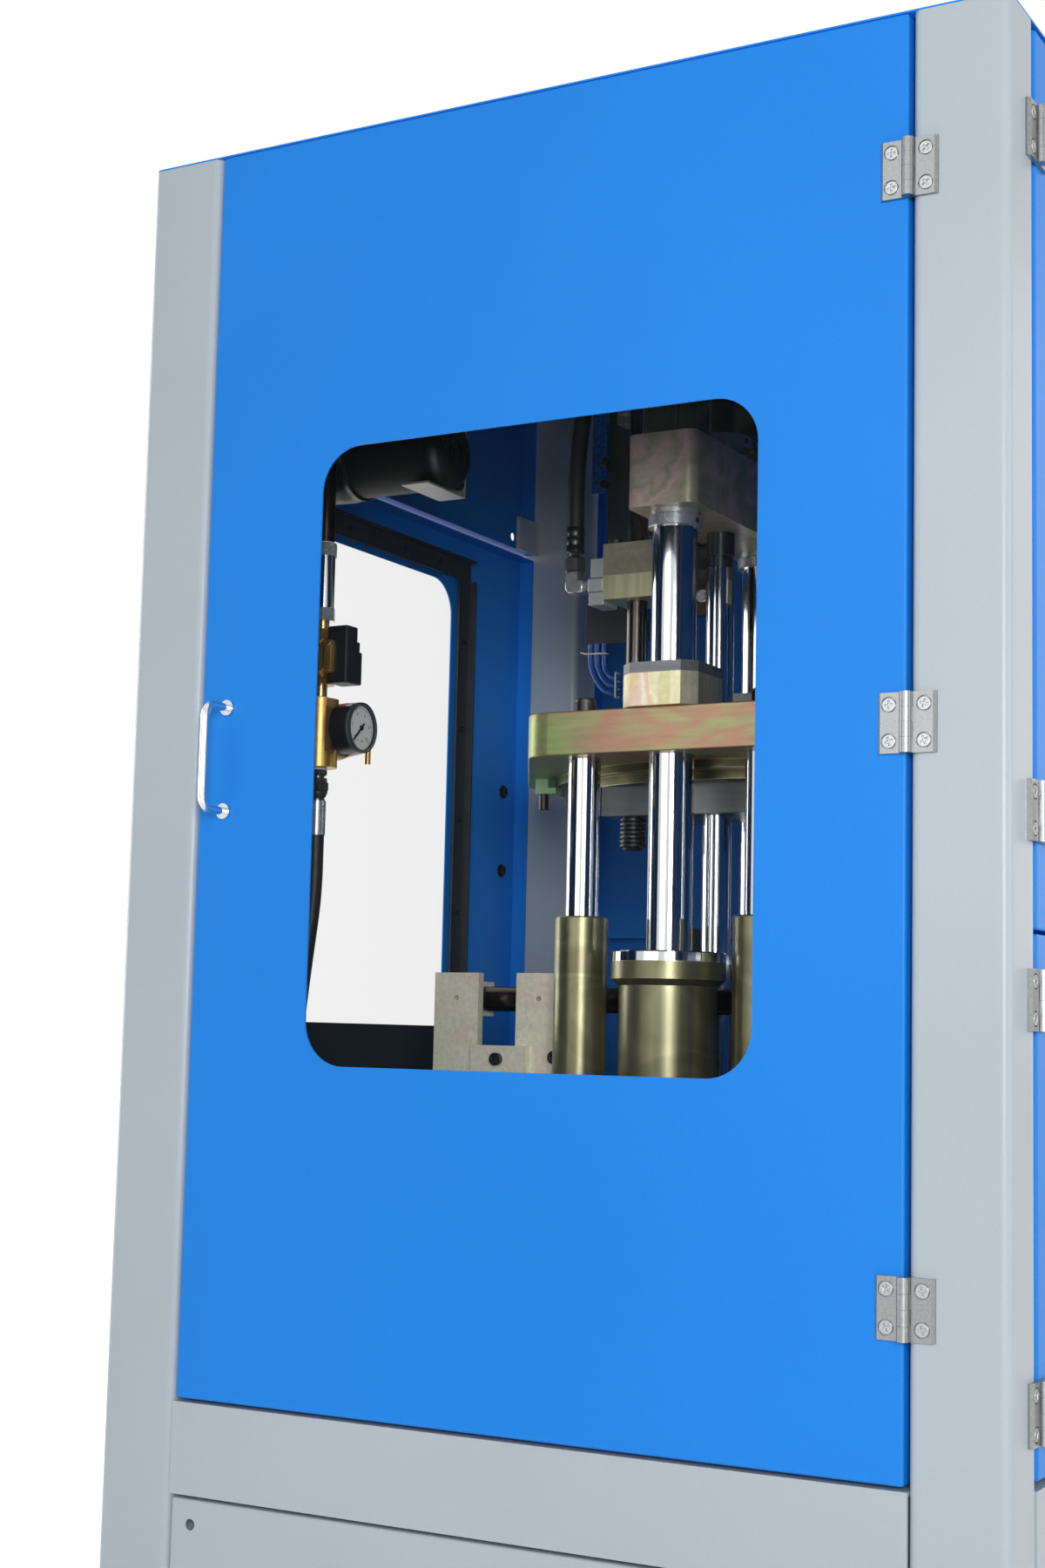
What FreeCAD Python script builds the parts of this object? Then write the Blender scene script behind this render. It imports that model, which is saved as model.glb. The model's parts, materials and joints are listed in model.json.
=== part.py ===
import FreeCAD, Part
import math
import os
import re
import Sketcher

# Blow moulding machine: a welded tube cabinet with folded sheet doors and
# panels, a four-column hydraulic clamp press inside it, an air supply line
# and an exhaust silencer. Millimetres, +Z up, the front faces -Y, and the
# origin is the middle of the machine's footprint on the floor.

V = FreeCAD.Vector
doc = FreeCAD.newDocument("BlowMouldingMachine")
sheet = doc.addObject("Spreadsheet::Sheet", "Sizes")

SIZES = {
    # welded cabinet
    "door_width": 860, "door_height": 1450, "door_sill": 900, "door_gap": 4,
    "machine_depth": 1000, "post_width": 100, "post_depth": 80,
    "post_corner": 10, "tube_wall": 4, "foot_plate": 8,
    "rail_depth": 60, "middle_rail_height": 101, "base_rail_height": 100,
    "base_rail_bottom": 120, "top_rail_height": 80, "top_rail_depth": 40,
    "bearer_width": 60, "bearer_place": 250, "roof_thickness": 2,
    # levelling feet
    "foot_height": 60, "foot_pad_radius": 40, "foot_pad_height": 14,
    "foot_stud_radius": 10, "foot_stud_grip": 40, "foot_nut_flats": 30,
    "foot_nut_height": 16,
    # folded sheet doors and panels
    "skin": 2, "fold_depth": 25, "fold_radius": 3, "stop_gap": 5,
    "side_window_margin": 71, "right_lower_height": 520,
    "panel_hole_radius": 6.3, "panel_hole_inset": 27,
    "tab_length": 60, "tab_height": 50, "tab_thickness": 6,
    "corner_gap": 1, "stiffener_inset": 10, "stiffener_depth": 26,
    "stiffener_height": 40, "stiffener_place": 564,
    # windows
    "window_width": 540, "window_height": 700, "window_corner": 50,
    "window_bottom": 375, "side_window_width": 430, "pane_thickness": 5,
    "pane_lap": 30, "trim_reveal": 8, "trim_width": 30, "trim_leg": 14,
    "trim_sheet": 3,
    "guard_height": 80, "guard_drop": 30,
    # hinges and handles
    "hinge_half": 30, "leaf_thickness": 5, "knuckle_radius": 6.5,
    "hinge_lift": 6.8, "knuckle_play": 0.4, "knuckle_slit": 0.2,
    "pin_radius": 3, "running_gap": 0.05, "leaf_bevel": 3,
    "leaf_hole_pitch": 36, "leaf_hole_radius": 3.2, "leaf_sink_radius": 8,
    "leaf_sink_depth": 2, "hinge_end_inset": 165,
    "side_hinge_inset": 115, "lower_hinge_inset": 65,
    "handle_centres": 120, "handle_reach": 45, "handle_rod_radius": 4.75,
    "handle_bend": 15, "handle_inset": 39, "handle_height": 722,
    "handle_cup_radius": 9, "handle_cup_height": 6,
    # press
    "bed_thickness": 40, "bed_clearance": 10,
    "head_thickness": 30, "head_depth": 660,
    "column_x": 119, "column_y": 134, "column_radius": 20,
    "column_length": 360, "sleeve_radius": 32.5, "sleeve_top": 560,
    "cylinder_radius": 59, "cylinder_bore": 48, "cylinder_top": 484,
    "cylinder_flange_radius": 69, "cylinder_flange": 21,
    "gland_height": 12, "rod_radius": 27.5, "piston_height": 45,
    "rod_drop": 450, "rod_rise": 434, "cylinder_floor": 25,
    "platen_front": 354, "platen_width": 698, "platen_depth": 348,
    "platen_shoulder": 42, "platen_corner": 45, "platen_rear_corner": 25,
    "platen_bottom": 756, "platen_thickness": 54,
    "clamp_block": 100, "clamp_block_chamfer": 16, "clamp_block_height": 40,
    "clamp_plate_height": 13,
    "disc_centre": 234, "disc_radius": 318, "disc_step": 15,
    "disc_back": 170, "disc_thickness": 23, "disc_tier": 12, "disc_gap": 2,
    "mould_block_width": 298, "mould_block_depth": 125,
    "mould_block_front": 30, "mould_block_height": 38,
    "screw_head_radius": 13, "screw_head_height": 20,
    "beam_width": 92, "beam_depth": 360, "beam_bottom": 1055,
    "beam_height": 90, "beam_corner": 14, "stop_left": 66,
    "stop_front": 40, "stop_width": 30, "stop_depth": 20,
    "stop_height": 93, "barrel_radius": 42.5,
    "barrel_bore": 29, "centre_radius": 18, "collar_bottom": 1010,
    "collar_height": 16, "collar_depth": 2, "guide_radius": 22,
    "guide_top": 519, "guide_ring_radius": 25, "guide_ring": 12,
    "side_rod_radius": 13.5,
    "side_rod_x": 118, "side_rod_drop": 103, "side_rod_length": 597,
    "side_cap_radius": 17,
    "manifold_width": 71, "manifold_depth": 80, "manifold_bottom": 977,
    "manifold_split": 31, "manifold_top": 42, "manifold_back": 10,
    "arm_front": 16, "arm_depth": 22, "arm_height": 12, "arm_lap": 10,
    # clamp hose and its fittings
    "port_block_width": 20, "port_block_depth": 40, "port_block_height": 62,
    "port_shift": 17, "elbow_reach": 34, "elbow_height": 1002,
    "elbow_radius": 8,
    "nut_radius": 13, "nut_height": 22, "ferrule_radius": 12,
    "ferrule_height": 41, "hose_radius": 11,
    # cross shaft with its supports
    "shaft_radius": 16, "shaft_y": 55, "shaft_z": 460, "shaft_half": 345,
    "support_width": 65, "support_thickness": 12, "support_top": 492,
    "support_front": 106, "outer_support_x": 312.5, "inner_support_x": 192.5,
    "boss_width": 26, "boss_height": 44, "bridge_width": 79,
    "bridge_top": 401, "bridge_x": 243.5, "support_hole_radius": 3.2,
    "cleat_x": 150, "cleat_width": 21, "cleat_top": 397,
    # silencer
    "drum_radius": 45, "drum_length": 214, "drum_left": 470,
    "drum_y": 200, "drum_z": 1145, "drum_round": 14, "drum_plug_radius": 12,
    "drum_plug_height": 6, "seat_gap": 0.3, "shelf_width": 68,
    "shelf_inset": 6, "shelf_sheet": 3, "shelf_lap": 45,
    # air line
    "air_x": 403, "air_y": 300, "air_pipe_radius": 11,
    "air_tube_radius": 13, "air_tube_length": 98, "tube_neck": 11,
    "tube_hex_height": 16, "tube_hex_radius": 16, "valve_height": 69,
    "valve_neck": 18, "valve_radius": 15, "valve_hex_radius": 18,
    "valve_hex_height": 14, "coil_step": 5, "bonnet_radius": 24,
    "bonnet_reach": 21, "coil_width": 32, "coil_depth": 38,
    "coil_height": 70, "regulator_bottom": 736, "regulator_height": 85,
    "regulator_radius": 23, "bonnet_length": 102, "dome_radius": 34,
    "dome_tip_radius": 20, "dome_flange": 14, "nipple_radius": 8,
    "gauge_radius": 31, "gauge_depth": 30, "gauge_front": 338,
    "gauge_rise": 47, "gauge_rim": 3, "gauge_recess": 4,
    "gauge_stem_radius": 7, "needle_length": 24, "needle_tail": 8,
    "needle_width": 2.4, "needle_sheet": 0.8, "needle_lift": 1.2, "arbor_radius": 1.5,
    "arbor_length": 2.6, "spindle_radius": 5, "spindle_reach": 26,
    "spindle_seat": 12, "tee_length": 60, "tee_radius": 4, "hose_neck": 41,
    "air_ferrule_height": 42, "air_ferrule_radius": 11,
    "air_hose_radius": 10, "air_hose_lean": 36,
    # plate and loop of air tubes behind the platen
    "hanger_left": 297, "hanger_y": 198, "hanger_width": 96,
    "hanger_length": 375, "hanger_foot": 70, "hanger_sheet": 6,
    "tube_pitch": 11, "loop_drop": 72, "air_tubing_radius": 4,
    # power unit behind the lower panels
    "tank_width": 600, "tank_depth": 500, "tank_height": 320,
    "tank_corner": 25, "motor_radius": 88, "motor_length": 290,
    "motor_axis": 105, "motor_left": 240, "motor_foot_width": 150,
    "motor_foot_depth": 190, "pump_radius": 55, "pump_length": 130,
    "pump_step": 40,
    # sensor under the platen
    "sensor_left": 288, "sensor_front": 44, "sensor_width": 19,
    "sensor_depth": 18, "sensor_height": 20, "sensor_leg": 12,
    "sensor_leg_height": 7.5, "sensor_gland_radius": 6.5,
    "sensor_gland_length": 21, "sensor_gland_inset": 8,
}
for row, (alias, number) in enumerate(SIZES.items(), 1):
    sheet.set(f"A{row}", alias)
    sheet.set(f"B{row}", str(number))
    sheet.setAlias(f"B{row}", alias)
doc.recompute()

# ---------------------------------------------------------------- derived
HALF_WIDTH = "(door_width/2+door_gap+post_width)"
HALF_DEPTH = "(machine_depth/2)"
POST_IN_X = "(door_width/2+door_gap)"
POST_IN_Y = "(machine_depth/2-post_depth)"
TOP = "(door_sill+door_height)"
MID_TOP = "(door_sill-door_gap)"
MID_BOTTOM = f"({MID_TOP}-middle_rail_height)"
LOW_TOP = f"({MID_BOTTOM}-door_gap)"
LOW_BOTTOM = "(base_rail_bottom+base_rail_height+door_gap)"
BED_TOP = f"({MID_TOP}+bed_thickness)"
HEAD_BOTTOM = f"({TOP}-top_rail_height-head_thickness)"
LEFT_HEIGHT = "(window_bottom+window_height+side_window_margin)"
SIDE_WIDTH = f"(2*({POST_IN_Y}-door_gap))"
BED_WIDTH = f"(2*({HALF_WIDTH}-fold_depth-bed_clearance))"
BED_DEPTH = f"(2*({POST_IN_Y}-bed_clearance))"
HEAD_WIDTH = f"(2*({HALF_WIDTH}-fold_depth-stop_gap))"
RIGHT_SILL = "(door_sill+door_gap)"
RIGHT_UPPER_SILL = f"({RIGHT_SILL}+right_lower_height+door_gap)"
PLATEN_BOTTOM = "(door_sill+platen_bottom)"
PLATEN_TOP = f"({PLATEN_BOTTOM}+platen_thickness)"
BLOCK_TOP = f"({PLATEN_TOP}+clamp_block_height)"
CYL_TOP = "(door_sill+cylinder_top)"
BEAM_BOTTOM = "(door_sill+beam_bottom)"
BEAM_TOP = f"({BEAM_BOTTOM}+beam_height)"
MANIFOLD_LEFT = "(side_rod_x+manifold_width/2)"
REGULATOR_LOW = "(door_sill+regulator_bottom)"
REGULATOR_TOP = f"({REGULATOR_LOW}+regulator_height)"
VALVE_LOW = f"({REGULATOR_TOP}+valve_neck)"
VALVE_TOP = f"({VALVE_LOW}+valve_height)"
AIR_TUBE_LOW = f"({VALVE_TOP}+tube_neck)"
AIR_TUBE_TOP = f"({AIR_TUBE_LOW}+air_tube_length)"
FERRULE_TOP = f"({REGULATOR_LOW}-hose_neck)"


def bound(text):
    """Write each size name in an expression with its sheet's name."""
    return re.sub(r"[a-z][a-z_]*", lambda hit: f"Sizes.{hit.group(0)}"
                  if hit.group(0) in SIZES else hit.group(0), str(text))


def value(text):
    """The present number of an expression."""
    return float(sheet.evalExpression(bound(text)))


def bind(thing, **expressions):
    for key, text in expressions.items():
        thing.setExpression(key, bound(text))
    return thing


NODES = {}


def node(thing, label):
    """Name a finished piece: it becomes a file of its own."""
    thing.Label = label
    NODES[label] = thing
    return thing


def place(thing, x="0", y="0", z="0", turn=0, about=V(0, 0, 1)):
    thing.Placement = FreeCAD.Placement(V(), FreeCAD.Rotation(about, turn))
    for axis, text in zip("xyz", (x, y, z)):
        thing.setExpression(f"Placement.Base.{axis}", bound(text))
    return thing


# ------------------------------------------------------- plain primitives
def box(x, y, z, length, width, height):
    """A block from its lowest corner."""
    block = doc.addObject("Part::Box", "Block")
    bind(block, Length=length, Width=width, Height=height)
    return place(block, x, y, z)


TURNS = {"X": (V(0, 1, 0), 90), "Y": (V(1, 0, 0), -90), "Z": (V(0, 0, 1), 0)}


def rod(x, y, z, radius, length, axis="Z"):
    """A round bar from the middle of its first end, along +axis."""
    bar = doc.addObject("Part::Cylinder", "Bar")
    bind(bar, Radius=radius, Height=length)
    about, turn = TURNS[axis]
    return place(bar, x, y, z, turn, about)


def hexagon(x, y, z, radius, length):
    """A hexagonal bar standing on its end."""
    bar = doc.addObject("Part::Prism", "Hexagon")
    bar.Polygon = 6
    bind(bar, Circumradius=radius, Height=length)
    return place(bar, x, y, z)


def fuse(*parts, refine=True):
    whole = doc.addObject("Part::MultiFuse", "Whole")
    whole.Shapes = list(parts)
    whole.Refine = refine
    return whole


def cut(base, *tools):
    result = doc.addObject("Part::Cut", "Cut")
    result.Base = base
    result.Tool = tools[0] if len(tools) == 1 else fuse(*tools)
    return result


def group(label, parts):
    """Several separate solids of one kind in one piece's file."""
    bundle = doc.addObject("Part::Compound", label)
    bundle.Links = list(parts)
    return node(bundle, label)


def copy_at(master, x="0", y="0", z="0", turn=0, about=V(0, 0, 1)):
    """The same piece again, at another place."""
    twin = doc.addObject("App::Link", "Copy")
    twin.LinkedObject = master
    return place(twin, x, y, z, turn, about)


# ------------------------------------------------------ sketched features
def body(name):
    made = doc.addObject("PartDesign::Body", name)
    made.AllowCompound = True
    return made


def sketch(owner, role="XY_Plane", offset="0"):
    plane = [o for o in owner.Origin.OriginFeatures if o.Role == role][0]
    drawn = owner.newObject("Sketcher::SketchObject", "Profile")
    drawn.AttachmentSupport = [(plane, "")]
    drawn.MapMode = "FlatFace"
    drawn.setExpression("AttachmentOffset.Base.z", bound(offset))
    return drawn


def fix(drawn, kind, *spec):
    """Add one measured constraint: its last entry is an expression."""
    index = drawn.addConstraint(Sketcher.Constraint(
        kind, *spec[:-1], value(spec[-1])))
    drawn.setExpression(f"Constraints[{index}]", bound(spec[-1]))


def polygon(drawn, points):
    """A closed outline through (x, y) expressions."""
    at = [V(value(x), value(y), 0) for x, y in points]
    lines = [drawn.addGeometry(Part.LineSegment(at[i], at[(i + 1) % len(at)]))
             for i in range(len(at))]
    for i, line in enumerate(lines):
        following = lines[(i + 1) % len(lines)]
        drawn.addConstraint(Sketcher.Constraint(
            "Coincident", line, 2, following, 1))
        fix(drawn, "DistanceX", -1, 1, line, 1, points[i][0])
        fix(drawn, "DistanceY", -1, 1, line, 1, points[i][1])


def rectangle(drawn, x, y, width, height):
    left, right = f"({x}-({width})/2)", f"({x}+({width})/2)"
    low, high = f"({y}-({height})/2)", f"({y}+({height})/2)"
    polygon(drawn, [(left, low), (right, low), (right, high), (left, high)])


def rounded(drawn, x, y, width, height, radius):
    """A rectangle with tangent round corners."""
    cx, cy, w, h, r = (value(t) for t in (x, y, width, height, radius))
    corners = [(cx + w / 2 - r, cy - h / 2 + r, -90),
               (cx + w / 2 - r, cy + h / 2 - r, 0),
               (cx - w / 2 + r, cy + h / 2 - r, 90),
               (cx - w / 2 + r, cy - h / 2 + r, 180)]
    arcs = []
    for ax, ay, start in corners:
        circle = Part.Circle(V(ax, ay, 0), V(0, 0, 1), r)
        arcs.append(drawn.addGeometry(Part.ArcOfCircle(
            circle, math.radians(start), math.radians(start + 90))))
    for i, arc in enumerate(arcs):
        after = arcs[(i + 1) % 4]
        line = drawn.addGeometry(Part.LineSegment(
            drawn.getPoint(arc, 2), drawn.getPoint(after, 1)))
        drawn.addConstraint(Sketcher.Constraint("Tangent", arc, 2, line, 1))
        drawn.addConstraint(Sketcher.Constraint("Tangent", line, 2, after, 1))
        drawn.addConstraint(Sketcher.Constraint(
            "Horizontal" if i % 2 else "Vertical", line))
        if i:
            drawn.addConstraint(Sketcher.Constraint("Equal", arcs[0], arc))
    fix(drawn, "Radius", arcs[0], radius)
    fix(drawn, "DistanceX", -1, 1, arcs[0], 3, f"({x}+({width})/2-{radius})")
    fix(drawn, "DistanceY", -1, 1, arcs[0], 3, f"({y}-({height})/2+{radius})")
    fix(drawn, "DistanceX", -1, 1, arcs[2], 3, f"({x}-({width})/2+{radius})")
    fix(drawn, "DistanceY", -1, 1, arcs[2], 3, f"({y}+({height})/2-{radius})")


def circle(drawn, x, y, radius):
    ring = drawn.addGeometry(Part.Circle(
        V(value(x), value(y), 0), V(0, 0, 1), value(radius)))
    fix(drawn, "Radius", ring, radius)
    fix(drawn, "DistanceX", -1, 1, ring, 3, x)
    fix(drawn, "DistanceY", -1, 1, ring, 3, y)


def pad(owner, drawn, length, reverse=False):
    made = owner.newObject("PartDesign::Pad", "Pad")
    made.Profile = drawn
    made.Reversed = reverse
    bind(made, Length=length)
    doc.recompute()
    return made


def pocket(owner, drawn, length=None, reverse=False):
    """Cut a profile into the body; with no length it goes right through."""
    before = owner.Shape.Volume
    made = owner.newObject("PartDesign::Pocket", "Pocket")
    made.Profile = drawn
    made.Reversed = reverse
    if length is None:
        made.Type = "ThroughAll"
    else:
        bind(made, Length=length)
    doc.recompute()
    if not owner.Shape.Volume < before - 1e-6:
        raise RuntimeError(f"{owner.Name}: a pocket cuts nothing")
    return made


def soften(owner, radius, chosen):
    """Round the edges that the test picks."""
    base = owner.Tip
    names = [f"Edge{i}" for i, edge in enumerate(base.Shape.Edges, 1)
             if chosen(edge)]
    made = owner.newObject("PartDesign::Fillet", "Round")
    made.Base = (base, names)
    bind(made, Radius=radius)
    doc.recompute()
    return made


def upright(edge):
    """Whether an edge stands straight up."""
    ends = [corner.Point for corner in edge.Vertexes]
    return len(ends) == 2 and math.hypot(
        ends[0].x - ends[1].x, ends[0].y - ends[1].y) < 1e-6


def turned(name, points):
    """A turned piece about Z from its (radius, height) outline."""
    owner = body(name)
    drawn = sketch(owner, "XZ_Plane")
    polygon(drawn, points)
    made = owner.newObject("PartDesign::Revolution", "Turning")
    made.Profile = drawn
    made.ReferenceAxis = (drawn, ["V_Axis"])
    made.Angle = 360
    doc.recompute()
    return owner


def plate(name, width, depth, height, corner=None, holes=()):
    """A flat plate about the middle of its underside."""
    owner = body(name)
    drawn = sketch(owner)
    if corner:
        rounded(drawn, "0", "0", width, depth, corner)
    else:
        rectangle(drawn, "0", "0", width, depth)
    pad(owner, drawn, height)
    if holes:
        drilled = sketch(owner, "XY_Plane", height)
        for x, y, radius in holes:
            circle(drilled, x, y, radius)
        pocket(owner, drilled)
    return owner


def path_of(points):
    """Straight runs joined by tangent arcs, and the arcs' radii."""
    at = [V(*(value(t) for t in point)) for point in points]
    edges, radii, start = [], [], at[0]
    for before, corner, after in zip(at, at[1:], at[2:]):
        inward = (corner - before).normalize()
        outward = (after - corner).normalize()
        turn = inward.getAngle(outward)
        shorter = min((corner - before).Length, (after - corner).Length)
        radius = 0.45 * shorter / math.tan(turn / 2)
        first = corner - inward * (0.45 * shorter)
        last = corner + outward * (0.45 * shorter)
        bulge = (outward - inward).normalize()
        middle = corner + bulge * (radius / math.cos(turn / 2) - radius)
        edges.append(Part.makeLine(start, first))
        edges.append(Part.Arc(first, middle, last).toShape())
        radii.append(round(radius))
        start = last
    edges.append(Part.makeLine(start, at[-1]))
    return Part.Wire(edges), radii


def hose(name, radius, points):
    """A hose of one section along its whole route."""
    spine, radii = path_of(points)
    size = value(radius)
    ring = Part.Wire(Part.makeCircle(
        size, spine.Vertexes[0].Point, spine.Edges[0].tangentAt(0)))
    solid = spine.makePipeShell([ring], True, False)
    made = doc.addObject("Part::Feature", name)
    made.Shape = solid
    wanted = math.pi * size ** 2 * spine.Length
    print(name, "radii", radii, "volume ratio",
          round(solid.Volume / wanted, 5))
    return made


# ------------------------------------------------------------ the cabinet
def posts():
    """Four rounded square tubes, closed at the foot by a drilled plate."""
    master = body("Post")
    outer = sketch(master)
    rounded(outer, "0", "0", "post_width", "post_depth", "post_corner")
    pad(master, outer, f"{TOP}-foot_height")
    inner = sketch(master, "XY_Plane", f"{TOP}-foot_height")
    rounded(inner, "0", "0", "post_width-2*tube_wall",
            "post_depth-2*tube_wall", "post_corner-tube_wall")
    pocket(master, inner, f"{TOP}-foot_height-foot_plate")
    hole = sketch(master, "XY_Plane", f"{TOP}-foot_height")
    circle(hole, "0", "0", "foot_stud_radius+running_gap")
    pocket(master, hole)
    across = f"({POST_IN_X}+post_width/2)"
    along = f"({HALF_DEPTH}-post_depth/2)"
    for label, side in (("front_posts", "-"), ("rear_posts", "")):
        group(label, [copy_at(master, f"{sign}{across}", f"{side}{along}",
                              "foot_height") for sign in ("-", "")])
    return across, along


POST_X, POST_Y = posts()


def feet():
    """Swivel pads on threaded studs, each with its lock nut."""
    pad_piece = turned("Foot", [
        ("0", "0"), ("foot_pad_radius", "0"), ("foot_pad_radius", "4"),
        ("foot_stud_radius+6", "foot_pad_height"),
        ("foot_stud_radius", "foot_pad_height"),
        ("foot_stud_radius", "foot_height+foot_stud_grip"),
        ("0", "foot_height+foot_stud_grip")])
    nut_radius = "foot_nut_flats/2/cos(30deg)"
    nut = cut(hexagon("0", "0", "0", nut_radius, "foot_nut_height"),
              rod("0", "0", "-1", "foot_stud_radius+running_gap",
                  "foot_nut_height+2"))
    spots = [(f"{a}{POST_X}", f"{b}{POST_Y}") for a in ("-", "")
             for b in ("-", "")]
    group("levelling_feet",
          [copy_at(pad_piece, x, y) for x, y in spots]
          + [copy_at(nut, x, y, "foot_height-foot_nut_height")
             for x, y in spots])


def tube(x, y, z, length, width, height, along):
    """A square tube, open at both ends, along X or Y."""
    outer = box(x, y, z, length, width, height)
    if along == "X":
        inner = box(f"{x}-1", f"{y}+tube_wall", f"{z}+tube_wall",
                    f"{length}+2", f"{width}-2*tube_wall",
                    f"{height}-2*tube_wall")
    else:
        inner = box(f"{x}+tube_wall", f"{y}-1", f"{z}+tube_wall",
                    f"{length}-2*tube_wall", f"{width}+2",
                    f"{height}-2*tube_wall")
    return cut(outer, inner)


def rails():
    """Base, middle and top rings of rails, and two tank bearers."""
    long_x, long_y = f"2*{POST_IN_X}", f"2*{POST_IN_Y}"
    pieces = []
    for low, height in (("base_rail_bottom", "base_rail_height"),
                        (MID_BOTTOM, "middle_rail_height")):
        for y in (f"-{HALF_DEPTH}", f"{HALF_DEPTH}-rail_depth"):
            pieces.append(tube(f"-{POST_IN_X}", y, low, long_x,
                               "rail_depth", height, "X"))
        for x in (f"-{HALF_WIDTH}", f"{HALF_WIDTH}-rail_depth"):
            pieces.append(tube(x, f"-{POST_IN_Y}", low, "rail_depth",
                               long_y, height, "Y"))
    top = f"{TOP}-top_rail_height"
    behind_door = "fold_depth+stop_gap"
    for y in (f"-{HALF_DEPTH}+{behind_door}",
              f"{HALF_DEPTH}-fold_depth-top_rail_depth"):
        pieces.append(tube(f"-{POST_IN_X}", y, top, long_x,
                           "top_rail_depth", "top_rail_height", "X"))
    for x in (f"-{HALF_WIDTH}+fold_depth",
              f"{HALF_WIDTH}-{behind_door.replace('+', '-')}"
              "-top_rail_depth"):
        pieces.append(tube(x, f"-{POST_IN_Y}", top, "top_rail_depth",
                           long_y, "top_rail_height", "Y"))
    for x in ("-bearer_place-bearer_width/2", "bearer_place-bearer_width/2"):
        pieces.append(tube(
            x, f"-({HALF_DEPTH}-rail_depth)",
            "base_rail_bottom+base_rail_height-bearer_width",
            "bearer_width", "machine_depth-2*rail_depth", "bearer_width",
            "Y"))
    group("frame_rails", pieces)


def tray(name, width, height, window=None, holes=()):
    """A folded sheet panel: front skin at y=0 and four edges turned back."""
    owner = body(name)
    outline = sketch(owner, "XZ_Plane")
    rectangle(outline, "0", f"({height})/2", width, height)
    pad(owner, outline, "fold_depth", True)
    soften(owner, "fold_radius", lambda edge: any(
        abs(v.Point.y) < 1e-6 for v in edge.Vertexes))
    hollow = sketch(owner, "XZ_Plane", "-skin")
    rectangle(hollow, "0", f"({height})/2", f"{width}-2*skin",
              f"{height}-2*skin")
    pocket(owner, hollow)
    if window or holes:
        opening = sketch(owner, "XZ_Plane", "1")
        if window:
            rounded(opening, "0", "window_bottom+window_height/2", window,
                    "window_height", "window_corner")
        for x, z in holes:
            circle(opening, x, z, "panel_hole_radius")
        pocket(owner, opening)
    return owner


def corner_holes(width, height):
    inset = "panel_hole_inset"
    return [(f"{sign}(({width})/2-{inset})", z) for sign in ("-", "")
            for z in (inset, f"({height})-{inset}")]


# turn about Z and outward offset of each side of the cabinet
SIDES = {"front": (0, "0", f"-{HALF_DEPTH}"),
         "left": (-90, f"-{HALF_WIDTH}", "0"),
         "right": (90, HALF_WIDTH, "0"),
         "rear": (180, "0", HALF_DEPTH)}


def panels():
    """Fixed panels, and the welded tabs that their edges rest on."""
    low_height = f"({LOW_TOP}-{LOW_BOTTOM})"
    masters = {}
    for name, width in (("Wide", "door_width"), ("Deep", SIDE_WIDTH)):
        masters[name] = tray(f"{name}Low", width, low_height,
                             holes=corner_holes(width, low_height))
    lower = []
    for side, (turn, x, y) in SIDES.items():
        kind = "Wide" if side in ("front", "rear") else "Deep"
        lower.append(copy_at(masters[kind], x, y, LOW_BOTTOM, turn))
    group("lower_panels", lower)
    rear_height = f"({TOP}-door_gap-{RIGHT_SILL})"
    left_low = f"(door_sill+{LEFT_HEIGHT}+2*door_gap)"
    left_height = f"({TOP}-door_gap-{left_low})"
    rear = tray("RearHigh", "door_width", rear_height,
                holes=corner_holes("door_width", rear_height))
    left = tray("LeftHigh", SIDE_WIDTH, left_height,
                holes=corner_holes(SIDE_WIDTH, left_height))
    stiffener = box(
        f"-({POST_IN_X}-stiffener_inset)",
        f"{HALF_DEPTH}-skin-stiffener_depth", "door_sill+stiffener_place",
        f"2*({POST_IN_X}-stiffener_inset)", "stiffener_depth",
        "stiffener_height")
    group("upper_panels", [
        copy_at(rear, "0", HALF_DEPTH, RIGHT_SILL, 180),
        copy_at(left, f"-{HALF_WIDTH}", "0", left_low, -90), stiffener])
    levels = {"front": [LOW_BOTTOM, f"{LOW_TOP}-tab_height"],
              "right": [LOW_BOTTOM, f"{LOW_TOP}-tab_height"],
              "rear": [LOW_BOTTOM, f"{LOW_TOP}-tab_height", RIGHT_SILL],
              "left": [LOW_BOTTOM, f"{LOW_TOP}-tab_height", left_low]}
    tabs = []
    for side, heights in levels.items():
        wall_x = side in ("left", "right")
        edge = POST_IN_Y if wall_x else POST_IN_X
        face = HALF_WIDTH if wall_x else HALF_DEPTH
        deep = (f"-{face}+fold_depth" if side in ("front", "left")
                else f"{face}-fold_depth-tab_thickness")
        for z in heights:
            for start in (f"-{edge}", f"{edge}-tab_length"):
                tabs.append(
                    box(deep, start, z, "tab_thickness", "tab_length",
                        "tab_height") if wall_x else
                    box(start, deep, z, "tab_length", "tab_thickness",
                        "tab_height"))
    group("panel_tabs", tabs)


def roof():
    lid = plate("Roof", f"2*{HALF_WIDTH}", "machine_depth", "roof_thickness",
                "post_corner")
    node(place(lid, "0", "0", TOP), "roof_panel")


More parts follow.
